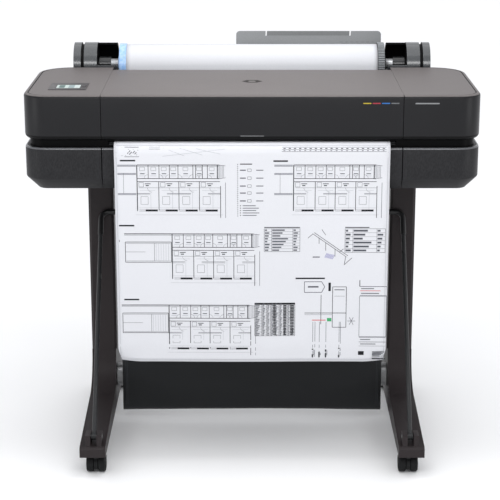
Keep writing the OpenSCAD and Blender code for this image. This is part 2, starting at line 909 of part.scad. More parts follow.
module foot_half() {
    difference() {
        translate([foot_x, 0, 0])
            rotate([90, 0, 90])
                linear_extrude(height = foot_w)
                    difference() {
                        polygon([
                            [-foot_y, foot_z], [foot_y, foot_z], [foot_y, foot_z + foot_tip_h],
                            [leg_back + knee_r, foot_top], [leg_back + knee_r, foot_top],
                            [leg_back, foot_top + knee_r], [leg_y, foot_top + knee_r],
                            [leg_y - knee_r, foot_top], [-foot_y + 6, foot_z + foot_tip_h + 2],
                            [-foot_y, foot_z + foot_tip_h - 4]]);
                        translate([leg_y - knee_r, foot_top + knee_r])
                            circle(r = knee_r);
                        translate([leg_back + knee_r, foot_top + knee_r])
                            circle(r = knee_r);
                    }
        translate([foot_x + wall, 0, 0])
            rotate([90, 0, 90])
                linear_extrude(height = foot_w - 2 * wall)
                    foot_hollow();
        for (sy = [-1, 1])
            translate([caster_x, sy * caster_y, foot_z - 1])
                cylinder(h = stem_top - foot_z + 1.5, r = stem_r + run_fit);
    }
    difference() {
        for (sx = [-1, 1])
            box([hoop_x + sx * (eye_half + 0.5 + block_w / 2) - block_w / 2, pivot_y - 22, foot_z + foot_tip_h - 6],
                [hoop_x + sx * (eye_half + 0.5 + block_w / 2) + block_w / 2, pivot_y + 12, pivot_z + block_h]);
        along_x(hoop_x - 30, hoop_x + 30, pivot_r + run_fit, pivot_y, pivot_z);
    }
}

module foot_right() {
    color("#2e2a2a")
        foot_half();
}

module foot_left() {
    color("#2e2a2a")
        mirror([1, 0, 0])
            foot_half();
}

module leg_plan(inset) {
    x0 = leg_x + inset;
    x1 = foot_x + foot_w - inset;
    y0 = leg_y + inset;
    y1 = leg_back - inset;
    b = leg_bevel - inset / 2;
    polygon([[x0 + b, y0], [x1 - b, y0], [x1, y0 + b], [x1, y1 - b],
             [x1 - b, y1], [x0 + b, y1], [x0, y1 - b], [x0, y0 + b]]);
}

module leg_half() {
    difference() {
        translate([0, 0, leg_z])
            linear_extrude(height = body_z - leg_z)
                leg_plan(0);
        translate([0, 0, leg_z - 1])
            linear_extrude(height = body_z - cap_h - leg_z + 1)
                leg_plan(leg_t);
        for (x = bolt_x)
            for (y = bolt_y)
                translate([x, y, body_z - cap_h - 1])
                    cylinder(h = cap_h + 2, r = bolt_r + run_fit);
    }
}

module leg_right() {
    color("#2e2a2a")
        leg_half();
}

module leg_left() {
    color("#2e2a2a")
        mirror([1, 0, 0])
            leg_half();
}

module crossbar() {
    color("#a9abac")
        translate([-foot_x, 0, 0])
            rotate([90, 0, 90])
                linear_extrude(height = 2 * foot_x)
                    difference() {
                        union() {
                            translate([bar_y, bar_z + bar_d / 2])
                                square([bar_d, bar_h - bar_d]);
                            for (z = [bar_z + bar_d / 2, bar_z + bar_h - bar_d / 2])
                                translate([bar_y + bar_d / 2, z])
                                    circle(r = bar_d / 2);
                        }
                        translate([bar_y + 2, bar_z + bar_d / 2])
                            square([bar_d - 4, bar_h - bar_d]);
                        for (z = [bar_z + bar_d / 2, bar_z + bar_h - bar_d / 2])
                            translate([bar_y + bar_d / 2, z])
                                circle(r = bar_d / 2 - 2);
                    }
}

module stand_bolts() {
    color("#8d8f90")
        for (sx = [-1, 1])
            for (x = bolt_x)
                for (y = bolt_y)
                    translate([sx * x, y, body_z - cap_h + 1]) {
                        cylinder(h = cap_h + wall, r = bolt_r);
                        translate([0, 0, cap_h - 1 + wall])
                            cylinder(h = 4, r = 5);
                    }
}

module hood_at(sx, sy) {
    translate([sx * caster_x, sy * caster_y, 0])
        difference() {
            union() {
                intersection() {
                    along_x(-web_half, web_half, wheel_r - 2, trail, wheel_r);
                    box([-10, -40, 8], [10, 40, hood_top]);
                }
                box([-web_half, -6, wheel_r + 6], [web_half, 12, hood_top - 3]);
                translate([0, 0, hood_top - 4])
                    cylinder(h = 4, r = 14);
                translate([0, 0, hood_top - 1])
                    cylinder(h = stem_top - hood_top + 1, r = stem_r);
            }
            along_x(-web_half - 1, web_half + 1, axle_r + run_fit, trail, wheel_r);
        }
}

module wheels_at(sx, sy) {
    translate([sx * caster_x, sy * caster_y, 0]) {
        along_x(-caster_w / 2, -web_half - move_gap, wheel_r, trail, wheel_r);
        along_x(web_half + move_gap, caster_w / 2, wheel_r, trail, wheel_r);
        along_x(-caster_w / 2 + 1, caster_w / 2 - 1, axle_r, trail, wheel_r);
    }
}

module caster_hood_fl() {
    color("#151515")
        hood_at(-1, -1);
}

module caster_hood_fr() {
    color("#151515")
        hood_at(1, -1);
}

module caster_hood_rl() {
    color("#151515")
        hood_at(-1, 1);
}

module caster_hood_rr() {
    color("#151515")
        hood_at(1, 1);
}

module caster_wheels_fl() {
    color("#0f0f0f")
        wheels_at(-1, -1);
}

module caster_wheels_fr() {
    color("#0f0f0f")
        wheels_at(1, -1);
}

module caster_wheels_rl() {
    color("#0f0f0f")
        wheels_at(-1, 1);
}

module caster_wheels_rr() {
    color("#0f0f0f")
        wheels_at(1, 1);
}

module hoop_frame() {
    translate([0, pivot_y, pivot_z])
        rotate([-hoop_lean, 0, 0])
            children();
}

module basket_hoop() {
    color("#232324")
        hoop_frame() {
            along_x(-hoop_x + bend_r, hoop_x - bend_r, hoop_r, 0, hoop_len);
            for (sx = [0, 1])
                mirror([sx, 0, 0]) {
                    translate([hoop_x - bend_r, 0, hoop_len - bend_r])
                        rotate([90, 0, 0])
                            rotate_extrude(angle = 90)
                                translate([bend_r, 0])
                                    circle(r = hoop_r);
                    difference() {
                        translate([hoop_x, 0, sleeve_at])
                            cylinder(h = hoop_len - bend_r - sleeve_at, r = hoop_r);
                        translate([hoop_x, 0, sleeve_at - 1])
                            cylinder(h = rod_in + 1.5 - bend_r, r = rod_r + run_fit);
                    }
                }
        }
}

module basket_rods() {
    color("#2f3031")
        hoop_frame()
            for (sx = [-1, 1])
                difference() {
                    union() {
                        translate([sx * hoop_x, 0, 0])
                            cylinder(h = sleeve_at + rod_in - bend_r, r = rod_r);
                        along_x(sx * hoop_x - eye_half, sx * hoop_x + eye_half, eye_r, 0, 0);
                    }
                    along_x(sx * hoop_x - 10, sx * hoop_x + 10, pivot_r + run_fit, 0, 0);
                }
}

module hoop_pivot_pins() {
    color("#8d8f90")
        for (sx = [-1, 1])
            along_x(sx * hoop_x - eye_half - block_w - 1, sx * hoop_x + eye_half + block_w + 1,
                    pivot_r, pivot_y, pivot_z);
}

module basket_fabric() {
    color("#202123") {
        box([-fabric_x, hoop_bar_y - fabric_t / 2, fabric_z],
            [fabric_x, hoop_bar_y + fabric_t / 2, hoop_top - hoop_r - 2]);
        box([-fabric_x, hoop_bar_y - fabric_t / 2, fabric_z], [fabric_x, bar_y - 1, fabric_z + fabric_t]);
        box([-fabric_x, bar_y - 1 - fabric_t, fabric_z], [fabric_x, bar_y - 1, bar_z + 25]);
    }
}

leg_left();
leg_right();
foot_left();
foot_right();
crossbar();
stand_bolts();
caster_hood_fl();
caster_hood_fr();
caster_hood_rl();
caster_hood_rr();
caster_wheels_fl();
caster_wheels_fr();
caster_wheels_rl();
caster_wheels_rr();
basket_hoop();
basket_rods();
hoop_pivot_pins();
basket_fabric();
base_pan();
lower_cover_left();
lower_cover_centre();
lower_cover_right();
slot_liner();
side_housing_left();
side_housing_right();
lid();
lid_hinges();
display_frame();
display_screen();
power_button();
rear_cover();
rear_trough();
roll_support_left();
roll_support_right();
spindle_rod();
spindle_hub_blue();
spindle_hub_grey();
roll_core();
paper_roll();
printed_sheet();
frame_plates();
carriage_rail();
carriage_rod();
carriage();
printhead();
carriage_belt();
carriage_motor();
drive_pulley();
idler_pulley();
platen();
feed_roller();
pinch_wheels();
service_station();
ink_bay();
ink_cartridges();
feeder_tray();
feeder_sleeve();
rear_ports();
main_board();
power_supply();
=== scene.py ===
import json
import math
import bpy
import bmesh
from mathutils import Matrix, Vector


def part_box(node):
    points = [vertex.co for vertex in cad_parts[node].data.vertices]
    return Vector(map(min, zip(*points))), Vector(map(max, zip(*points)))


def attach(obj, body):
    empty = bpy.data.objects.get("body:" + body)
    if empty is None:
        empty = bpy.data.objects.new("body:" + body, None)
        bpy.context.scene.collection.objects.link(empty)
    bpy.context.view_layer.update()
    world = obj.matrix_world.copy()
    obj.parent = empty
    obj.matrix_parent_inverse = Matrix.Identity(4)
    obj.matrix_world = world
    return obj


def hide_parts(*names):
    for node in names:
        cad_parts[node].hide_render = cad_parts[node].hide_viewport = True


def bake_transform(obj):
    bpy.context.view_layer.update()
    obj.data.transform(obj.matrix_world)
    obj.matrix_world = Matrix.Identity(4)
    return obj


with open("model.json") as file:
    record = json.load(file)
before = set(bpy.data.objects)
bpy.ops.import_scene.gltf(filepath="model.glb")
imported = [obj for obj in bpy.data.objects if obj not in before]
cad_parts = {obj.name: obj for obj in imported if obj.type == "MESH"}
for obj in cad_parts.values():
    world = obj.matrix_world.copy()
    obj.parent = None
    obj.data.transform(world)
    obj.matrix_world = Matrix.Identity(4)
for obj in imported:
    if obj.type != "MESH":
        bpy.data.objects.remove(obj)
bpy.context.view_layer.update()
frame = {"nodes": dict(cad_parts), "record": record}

# Studio: the camera stands in front of the machine, a little above the deck and level with its middle.
# A pale floor and large soft lights, one overhead for the deck and one in front for the stand.
camera = bpy.data.objects.new("studio_camera", bpy.data.cameras.new("studio_camera"))
bpy.context.collection.objects.link(camera)
camera.location = (-0.0047, -3.731, 1.5028)
camera.rotation_euler = (math.pi / 2 - 0.2745, 0, 0)
camera.data.lens = 117.2
camera.data.sensor_width = 36
camera.data.clip_end = 60
bpy.context.scene.camera = camera
bpy.context.scene.view_settings.view_transform = "Standard"

daylight = bpy.data.worlds.new("studio_air")
bpy.context.scene.world = daylight
daylight.use_nodes = True
air = daylight.node_tree.nodes["Background"]
air.inputs["Color"].default_value = (0.96, 0.97, 1.0, 1)
air.inputs["Strength"].default_value = 0.86


def softbox(name, place, target, wide, high, watts):
    lamp = bpy.data.lights.new(name, "AREA")
    lamp.shape = "RECTANGLE"
    lamp.size = wide
    lamp.size_y = high
    lamp.energy = watts
    stand = bpy.data.objects.new(name, lamp)
    bpy.context.collection.objects.link(stand)
    stand.location = place
    aim = Vector(target) - Vector(place)
    stand.rotation_euler = aim.to_track_quat("-Z", "Y").to_euler()


softbox("softbox_over", (0.0, -0.25, 1.5), (0, 0.15, 0.86), 0.6, 0.3, 3.3)
softbox("softbox_front", (0.0, -1.25, 1.2), (0, 0.1, 0.8), 1.3, 0.3, 6)
softbox("softbox_left", (-3.0, -1.8, 0.5), (0, 0, 0.7), 1.2, 0.9, 10)
softbox("softbox_right", (3.0, -1.8, 0.5), (0, 0, 0.7), 1.2, 0.9, 9)
skylight = bpy.data.objects.new("skylight", bpy.data.lights.new("skylight", "SUN"))
skylight.data.energy = 0.74
skylight.data.angle = math.radians(80)
bpy.context.collection.objects.link(skylight)


def set_sockets(node, **values):
    """Sets a node's inputs by name, with _ standing for a space, and gives the node back."""
    for name, value in values.items():
        node.inputs[name.replace("_", " ")].default_value = value
    return node


floor_mesh = bpy.data.meshes.new("studio_floor")
floor_reach, floor_drop = 14, -0.0005
floor_mesh.from_pydata([(x * floor_reach, y * floor_reach, floor_drop)
                        for x, y in ((-1, -1), (1, -1), (1, 1), (-1, 1))], [], [(0, 1, 2, 3)])
floor = bpy.data.objects.new("studio_floor", floor_mesh)
bpy.context.collection.objects.link(floor)
floor_paint = bpy.data.materials.new("floor_paint")
floor_paint.use_nodes = True
floor_nodes = floor_paint.node_tree.nodes
floor_shader = set_sockets(floor_nodes["Principled BSDF"], Roughness=0.85)
floor_spot = floor_nodes.new("ShaderNodeTexCoord")
floor_noise = set_sockets(floor_nodes.new("ShaderNodeTexNoise"), Scale=3.0)
floor_ramp = floor_nodes.new("ShaderNodeValToRGB")
floor_ramp.color_ramp.elements[0].color = (0.94, 0.94, 0.94, 1)
floor_ramp.color_ramp.elements[1].color = (0.98, 0.98, 0.98, 1)
floor_paint.node_tree.links.new(floor_spot.outputs["Object"], floor_noise.inputs["Vector"])
floor_paint.node_tree.links.new(floor_noise.outputs["Fac"], floor_ramp.inputs["Fac"])
floor_paint.node_tree.links.new(floor_ramp.outputs["Color"], floor_shader.inputs["Base Color"])
floor.data.materials.append(floor_paint)

# Stand: two feet of folded and welded steel with a swept knee, a boxed leg on each, and bolts into the
# printer's floor pan. All of it is powder coated in a warm near-black with a fine satin texture.
body_of_node = {node: body for body, nodes in frame["record"]["behaviour"]["bodies"].items() for node in nodes}


def tint(code):
    """A screen colour such as #a0b1c2 as the linear light that a material takes."""
    levels = [int(code[i:i + 2], 16) for i in (1, 3, 5)]
    return [((v / 255 + 0.055) / 1.055) ** 2.4 if v > 10 else v / 3294.6 for v in levels] + [1.0]


def coating(name, base, fleck, rough, swing=0.06, grain=900.0, depth=0.00006, metal=0.0, coat=0.0,
            stretch=(1, 1, 1), turn=(0, 0, 0), patch=6.0, specular=0.2):
    """A surface: a ground colour with flecks, patches of duller and brighter finish, and a fine relief."""
    made = bpy.data.materials.new(name)
    made.use_nodes = True
    nodes, links = made.node_tree.nodes, made.node_tree.links
    shader = set_sockets(nodes["Principled BSDF"], Metallic=metal, Coat_Weight=coat, Coat_Roughness=0.12,
                         Specular_IOR_Level=specular)
    spot = nodes.new("ShaderNodeTexCoord")
    place = set_sockets(nodes.new("ShaderNodeMapping"), Scale=stretch, Rotation=turn)
    links.new(spot.outputs["Object"], place.inputs["Vector"])
    fine = set_sockets(nodes.new("ShaderNodeTexNoise"), Scale=grain, Detail=2.0)
    links.new(place.outputs["Vector"], fine.inputs["Vector"])
    broad = set_sockets(nodes.new("ShaderNodeTexNoise"), Scale=patch, Detail=4.0)
    links.new(spot.outputs["Object"], broad.inputs["Vector"])
    ramp = nodes.new("ShaderNodeValToRGB")
    ramp.color_ramp.elements[0].position = 0.38
    ramp.color_ramp.elements[0].color = tint(base)
    ramp.color_ramp.elements[1].position = 0.66
    ramp.color_ramp.elements[1].color = tint(fleck)
    links.new(fine.outputs["Fac"], ramp.inputs["Fac"])
    shade = set_sockets(nodes.new("ShaderNodeMixRGB"), Fac=0.12)
    shade.blend_type = "MULTIPLY"
    links.new(ramp.outputs["Color"], shade.inputs["Color1"])
    links.new(broad.outputs["Fac"], shade.inputs["Color2"])
    links.new(shade.outputs["Color"], shader.inputs["Base Color"])
    dull = set_sockets(nodes.new("ShaderNodeMapRange"), From_Min=0.3, From_Max=0.7, To_Min=rough - swing,
                       To_Max=rough + swing)
    links.new(broad.outputs["Fac"], dull.inputs["Value"])
    links.new(dull.outputs["Result"], shader.inputs["Roughness"])
    relief = set_sockets(nodes.new("ShaderNodeBump"), Strength=0.6, Distance=depth)
    links.new(fine.outputs["Fac"], relief.inputs["Height"])
    links.new(relief.outputs["Normal"], shader.inputs["Normal"])
    return made


def keep_piece(piece, node, *coats):
    """The finished mesh stands for its CAD node, on the same body."""
    for one in coats:
        piece.data.materials.append(one)
    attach(piece, body_of_node[node])
    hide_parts(node)
    return piece


def piece_from(name, cage, smooth=35.0):
    """Turns a bmesh into an object at the origin, with hard edges kept and curved faces smooth."""
    mesh = bpy.data.meshes.new(name)
    cage.to_mesh(mesh)
    cage.free()
    for face in mesh.polygons:
        face.use_smooth = True
    mesh.set_sharp_from_angle(angle=math.radians(smooth))
    piece = bpy.data.objects.new(name, mesh)
    bpy.context.collection.objects.link(piece)
    return piece


def ease_edges(piece, width, segments=2, limit=50.0, harden=True):
    """Rounds the hard edges a little, as a mould or a press leaves them."""
    ease = piece.modifiers.new("eased_edges", "BEVEL")
    ease.width = width
    ease.segments = segments
    ease.limit_method = "ANGLE"
    ease.angle_limit = math.radians(limit)
    ease.harden_normals = harden
    return piece


def eased_copy(node, name, width, segments=2, limit=40.0):
    """A CAD node's shape with its loose triangles joined and its hard edges eased."""
    cage = bmesh.new()
    cage.from_mesh(frame["nodes"][node].data)
    bmesh.ops.remove_doubles(cage, verts=cage.verts, dist=0.00002)
    bmesh.ops.dissolve_limit(cage, angle_limit=math.radians(1.0), verts=cage.verts, edges=cage.edges)
    return ease_edges(piece_from(name, cage), width, segments, limit)


powder_coat = coating("powder_coat", "#241f20", "#302a2b", 0.46, 0.07, grain=1500, depth=0.00008)
for node in ("leg_left", "leg_right", "foot_left", "foot_right"):
    keep_piece(eased_copy(node, "steel_" + node, 0.0018, 3), node, powder_coat)

bare_steel = coating("bare_steel", "#8d8f90", "#a3a5a6", 0.32, 0.08, grain=420, depth=0.00002, metal=1.0,
                     stretch=(1, 1, 9))
for node in ("stand_bolts", "hoop_pivot_pins"):
    keep_piece(eased_copy(node, "steel_" + node, 0.0004), node, bare_steel)

# Crossbar: one hollow aluminium extrusion with rounded edges, anodised light grey. It is cut to length and
# bolted between the two feet, where it keeps the stand square.
anodised = coating("anodised", "#a6a7a8", "#b8b9ba", 0.38, 0.05, grain=300, depth=0.00002, metal=0.65,
                   stretch=(0.4, 8, 8))
keep_piece(eased_copy("crossbar", "extruded_crossbar", 0.0006), "crossbar", anodised)

# Casters: a moulded hood on a steel stem with two rubber-tyred wheels on one axle. Each wheel has a
# rounded tread, a recessed web and a hub cap.
def turned(name, profile, centre, sides=64, closed=True):
    """Sweeps (place along X, radius) pairs round a line along X through centre, all in metres."""
    cage = bmesh.new()
    rings = []
    for along, radius in profile:
        ring = []
        for i in range(sides):
            a = 2 * math.pi * i / sides
            spot = (along, radius * math.cos(a), radius * math.sin(a))
            ring.append(cage.verts.new([spot[k] + centre[k] for k in range(3)]))
        rings.append(ring)
    pairs = list(zip(rings, rings[1:]))
    if closed:
        pairs.append((rings[-1], rings[0]))
    for one, two in pairs:
        for i in range(sides):
            j = (i + 1) % sides
            cage.faces.new((one[i], one[j], two[j], two[i]))
    bmesh.ops.remove_doubles(cage, verts=cage.verts, dist=0.000001)
    bmesh.ops.recalc_face_normals(cage, faces=cage.faces)
    return piece_from(name, cage)


def merged(name, parts):
    """Joins finished meshes into one piece."""
    cage = bmesh.new()
    for part in parts:
        cage.from_mesh(part.data)
        bpy.data.objects.remove(part)
    return piece_from(name, cage)


tyre_rubber = coating("tyre_rubber", "#0c0d0e", "#151617", 0.62, 0.1, grain=800, depth=0.0001)
hood_plastic = coating("hood_plastic", "#0e0f10", "#151617", 0.42, 0.08, grain=1200, depth=0.00005)
wheel_gap_half = 0.0052
for corner in ("fl", "fr", "rl", "rr"):
    node = "caster_wheels_" + corner
    low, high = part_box(node)
    middle = [(low[k] + high[k]) / 2 for k in range(3)]
    tread, half = (high[2] - low[2]) / 2, (high[0] - low[0]) / 2
    wheels = []
    for way in (-1, 1):
        outer, inner = way * half, way * wheel_gap_half
        wheels.append(turned("wheel", [
            (outer - way * 0.0045, 0.0), (outer - way * 0.0045, 0.004), (outer - way * 0.0015, 0.0045),
            (outer - way * 0.001, 0.008), (outer - way * 0.0025, 0.0095), (outer - way * 0.0025, 0.0135),
            (outer, 0.0155), (outer, tread - 0.0035), (outer - way * 0.001, tread - 0.0012),
            (outer - way * 0.0035, tread), (inner + way * 0.003, tread), (inner + way * 0.0008, tread - 0.001),
            (inner, tread - 0.003), (inner, 0.0)], middle, sides=48, closed=False))
    wheels.append(turned("axle", [(-half + 0.004, 0), (-half + 0.004, 0.0024), (half - 0.004, 0.0024),
                                  (half - 0.004, 0)], middle, sides=24, closed=False))
    keep_piece(merged("twin_wheels_" + corner, wheels), node, tyre_rubber)
    keep_piece(eased_copy("caster_hood_" + corner, "swivel_hood_" + corner, 0.0008, 2), "caster_hood_" + corner,
               hood_plastic)

# Basket frame: a bent steel tube hoop in satin black whose ends sleeve over two thinner rods. The rods
# turn on pins in the foot sockets, and the top bar rests back against the legs.
tube_paint = coating("tube_paint", "#151516", "#1f1f20", 0.34, 0.06, grain=1100, depth=0.00004, specular=0.35)
keep_piece(eased_copy("basket_hoop", "hoop_tube", 0.0005, limit=60), "basket_hoop", tube_paint)
rod_paint = coating("rod_paint", "#262728", "#3a3b3c", 0.24, 0.05, grain=1100, depth=0.00003)
keep_piece(eased_copy("basket_rods", "hoop_rods", 0.0005, limit=60), "basket_rods", rod_paint)

# Basket cloth: one length of black woven polyester, sewn round the top bar, hanging down in front of the
# crossbar, folded at the bottom and clipped up behind. Hems with a double row of stitches run down its sides.
cloth_low, cloth_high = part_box("basket_fabric")
bar_low, bar_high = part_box("basket_hoop")
cloth_half = cloth_high[0]
tube_r, sleeve_r = 0.0065, 0.0076
bar_axis = (bar_high[1] - tube_r, bar_high[2] - tube_r)
front_line = cloth_low[1] + 0.0008
back_line = cloth_high[1] - 0.0012
clip_height = 0.104
cloth_path = [(bar_axis[0] - sleeve_r * math.cos(math.radians(x)), bar_axis[1] + sleeve_r * math.sin(math.radians(x)))
              for x in range(200, -21, -10)]
start_y, start_z = cloth_path[-1]
for step in range(1, 61):
    t = step / 60
    z = start_z + (cloth_low[2] + 0.012 - start_z) * t
    y = start_y + (front_line + 0.002 - start_y) * min(1.0, t * 6) + 0.003 * math.sin(math.pi * t)
    cloth_path.append((y, z))
fold_y, fold_z = cloth_path[-1]
fold_r = (back_line - fold_y) / 2
for step in range(1, 13):
    a = math.pi * step / 12
    cloth_path.append((fold_y + fold_r - fold_r * math.cos(a), fold_z - min(fold_r, 0.011) * math.sin(a)))
for step in range(1, 9):
    cloth_path.append((back_line, fold_z + (clip_height - fold_z) * step / 8))
cloth_run = [0.0]
for one, two in zip(cloth_path, cloth_path[1:]):
    cloth_run.append(cloth_run[-1] + math.dist(one, two))
cloth_length = cloth_run[-1]


def sagged(u, y, z):
    """The cloth's gather and place towards the back, at a share u of its width: it ripples more lower down."""
    drop = max(0.0, min(1.0, (start_z - z) / 0.4))
    ripple = (0.0016 * math.sin(11.0 * u + 1.3) + 0.001 * math.sin(27 * u + 4 * z)) * drop
    inward = 0.004 * drop * (abs(2 * u - 1) ** 6) * (1 if u < 0.5 else -1)
    return inward, y + ripple * (0.4 if z < 0.1 else 1)


cage = bmesh.new()
weave_map = cage.loops.layers.uv.new("weave")
across = 64
grid = []
for y, z in cloth_path:
    row = []
    for i in range(across + 1):
        u = i / across
        x = -cloth_half + 2 * cloth_half * u
        inward, sagged_y = sagged(u, y, z)
        lift = 0.003 * (1 - (2 * u - 1) ** 2) * max(0.0, 1 - abs(z - cloth_low[2]) / 0.03)
        row.append(cage.verts.new((x + inward, sagged_y, z + lift)))
    grid.append(row)
for j in range(len(grid) - 1):
    for i in range(across):
        face = cage.faces.new((grid[j][i], grid[j + 1][i], grid[j + 1][i + 1], grid[j][i + 1]))
        for loop, (a, b) in zip(face.loops, ((i, j), (i, j + 1), (i + 1, j + 1), (i + 1, j))):
            loop[weave_map].uv = (a / across * 2 * cloth_half, cloth_run[b])
basket_cloth = piece_from("basket_cloth", cage, 80)
thick = basket_cloth.modifiers.new("cloth_thickness", "SOLIDIFY")
thick.thickness = 0.0008
thick.offset = 0

woven = bpy.data.materials.new("woven_polyester")
woven.use_nodes = True
nodes, links = woven.node_tree.nodes, woven.node_tree.links
shader = set_sockets(nodes["Principled BSDF"], Sheen_Weight=0.25, Sheen_Roughness=0.5, Specular_IOR_Level=0.3)
cloth_uv = nodes.new("ShaderNodeUVMap")
cloth_uv.uv_map = "weave"
threads = []
for way in ("X", "Y"):
    thread = set_sockets(nodes.new("ShaderNodeTexWave"), Scale=260, Distortion=0.6, Detail=1.0)
    thread.bands_direction = way
    links.new(cloth_uv.outputs["UV"], thread.inputs["Vector"])
    threads.append(thread)
weave = nodes.new("ShaderNodeMath")
weave.operation = "MULTIPLY"
links.new(threads[0].outputs["Fac"], weave.inputs[0])
links.new(threads[1].outputs["Fac"], weave.inputs[1])
fuzz = set_sockets(nodes.new("ShaderNodeTexNoise"), Scale=9, Detail=5)
links.new(cloth_uv.outputs["UV"], fuzz.inputs["Vector"])
dye = nodes.new("ShaderNodeValToRGB")
dye.color_ramp.elements[0].color = tint("#0e0f11")
dye.color_ramp.elements[1].color = tint("#1a1c1e")
dye.color_ramp.elements[1].position = 0.8
mixed = nodes.new("ShaderNodeMath")
mixed.operation = "MULTIPLY_ADD"
mixed.inputs[1].default_value = 0.45
links.new(weave.outputs["Value"], mixed.inputs[0])
links.new(fuzz.outputs["Fac"], mixed.inputs[2])
links.new(mixed.outputs["Value"], dye.inputs["Fac"])
links.new(dye.outputs["Color"], shader.inputs["Base Color"])
cloth_dull = set_sockets(nodes.new("ShaderNodeMapRange"), To_Min=0.72, To_Max=0.92)
links.new(fuzz.outputs["Fac"], cloth_dull.inputs["Value"])
links.new(cloth_dull.outputs["Result"], shader.inputs["Roughness"])
cloth_relief = set_sockets(nodes.new("ShaderNodeBump"), Distance=0.0003, Strength=0.7)
links.new(weave.outputs["Value"], cloth_relief.inputs["Height"])
links.new(cloth_relief.outputs["Normal"], shader.inputs["Normal"])
basket_cloth.data.materials.append(woven)
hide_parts("basket_fabric")
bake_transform(basket_cloth)

# Hem stitches: two rows of grey polyester thread down each side hem of the basket cloth. Each stitch is a
# short raised bar on the face of the cloth, set by machine at an even pitch.
def set_in_a_row(name, path, size, pitch, coat, follow, closed=False):
    """Repeats a small bar along a path, turned to follow it where follow is true."""
    cage = bmesh.new()
    spots = [cage.verts.new(p) for p in path]
    for one, two in zip(spots, spots[1:] + ([spots[0]] if closed else [])):
        cage.edges.new((one, two))
    mesh = bpy.data.meshes.new(name + "_path")
    cage.to_mesh(mesh)
    cage.free()
    holder = bpy.data.objects.new(name + "_path", mesh)
    bpy.context.collection.objects.link(holder)
    tree = bpy.data.node_groups.new(name + "_row", "GeometryNodeTree")
    tree.interface.new_socket(name="Geometry", in_out="INPUT", socket_type="NodeSocketGeometry")
    sockets = {}
    for label in ("Bar Length", "Bar Width", "Bar Height", "Pitch"):
        sockets[label] = tree.interface.new_socket(name=label, in_out="INPUT", socket_type="NodeSocketFloat").identifier
    tree.interface.new_socket(name="Geometry", in_out="OUTPUT", socket_type="NodeSocketGeometry")
    given = tree.nodes.new("NodeGroupInput")
    shown = tree.nodes.new("NodeGroupOutput")
    curve = tree.nodes.new("GeometryNodeMeshToCurve")
    even = tree.nodes.new("GeometryNodeResampleCurve")
    even.mode = "LENGTH"
    bar_size = tree.nodes.new("ShaderNodeCombineXYZ")
    bar = tree.nodes.new("GeometryNodeMeshCube")
    placed = tree.nodes.new("GeometryNodeInstanceOnPoints")
    real = tree.nodes.new("GeometryNodeRealizeInstances")
    dress = tree.nodes.new("GeometryNodeSetMaterial")
    dress.inputs["Material"].default_value = coat
    join = tree.links.new
    join(given.outputs["Geometry"], curve.inputs["Mesh"])
    join(curve.outputs["Curve"], even.inputs["Curve"])
    join(given.outputs["Pitch"], even.inputs["Length"])
    join(given.outputs["Bar Width"], bar_size.inputs["X"])
    join(given.outputs["Bar Length"], bar_size.inputs["Y"])
    join(given.outputs["Bar Height"], bar_size.inputs["Z"])
    join(bar_size.outputs["Vector"], bar.inputs["Size"])
    join(even.outputs["Curve"], placed.inputs["Points"])
    join(bar.outputs["Mesh"], placed.inputs["Instance"])
    if follow:
        way = tree.nodes.new("GeometryNodeInputTangent")
        turn = tree.nodes.new("FunctionNodeAlignRotationToVector")
        turn.axis = "Y"
        turn.pivot_axis = "X"
        join(way.outputs["Tangent"], turn.inputs["Vector"])
        join(turn.outputs["Rotation"], placed.inputs["Rotation"])
    join(placed.outputs["Instances"], real.inputs["Geometry"])
    join(real.outputs["Geometry"], dress.inputs["Geometry"])
    join(dress.outputs["Geometry"], shown.inputs["Geometry"])
    maker = holder.modifiers.new("row", "NODES")
    maker.node_group = tree
    for label, value in (("Bar Width", size[0]), ("Bar Length", size[1]), ("Bar Height", size[2]), ("Pitch", pitch)):
        maker[sockets[label]] = value
    settled = holder.evaluated_get(bpy.context.evaluated_depsgraph_get())
    made = bpy.data.meshes.new_from_object(settled)
    bpy.data.objects.remove(holder)
    made.name = name
    piece = bpy.data.objects.new(name, made)
    bpy.context.collection.objects.link(piece)
    if not made.materials:
        made.materials.append(coat)
    return piece


stitch_thread = coating("stitch_thread", "#3a3c3f", "#4a4c4f", 0.7, 0.05, grain=900, depth=0.00002)
for side in (-1, 1):
    for k, inset in enumerate((0.009, 0.013)):
        seam_run = []
        for (y, z), run in zip(cloth_path, cloth_run):
            if start_z - 0.02 > z > cloth_low[2] + 0.02 and y < front_line + 0.006 and run < cloth_length - 0.1:
                u = (side * (cloth_half - inset) + cloth_half) / (2 * cloth_half)
                inward, sagged_y = sagged(u, y, z)
                seam_run.append((side * (cloth_half - inset) + inward, sagged_y - 0.00045, z))
        stitches = set_in_a_row("hem_stitches_" + ("left", "right")[side > 0] + "_" + str(k), seam_run,
                                (0.0009, 0.0030, 0.0005), 0.0042, stitch_thread, True)
        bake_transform(stitches)

# Floor pan: a folded steel tray under the whole body, painted dark grey. It carries the works and takes the
# bolts that hold the stand.
pan_paint = coating("pan_paint", "#303132", "#3b3c3d", 0.55, 0.08, grain=700, depth=0.00005)
keep_piece(eased_copy("base_pan", "steel_base_pan", 0.0005), "base_pan", pan_paint)

# Lower housing: three moulded covers, left, middle and right, in black plastic with a fine slanting
# grain. A bevel runs round the underside, and the top edge is a narrow ledge in front of the dark slot; the ledge's
# rounding is coloured a lighter glossy grey as a painted highlight.
side_low, side_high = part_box("side_housing_right")
half_width, front_face = side_high[0], side_low[1]
deck_back, deck_top, housing_base = side_high[1], side_high[2], side_low[2]
lower_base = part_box("lower_cover_right")[0][2]
lower_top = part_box("lower_cover_right")[1][2]
front_corner, rear_corner = 0.050, 0.080
seam_at = (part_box("lid")[1][0] + side_low[0]) / 2


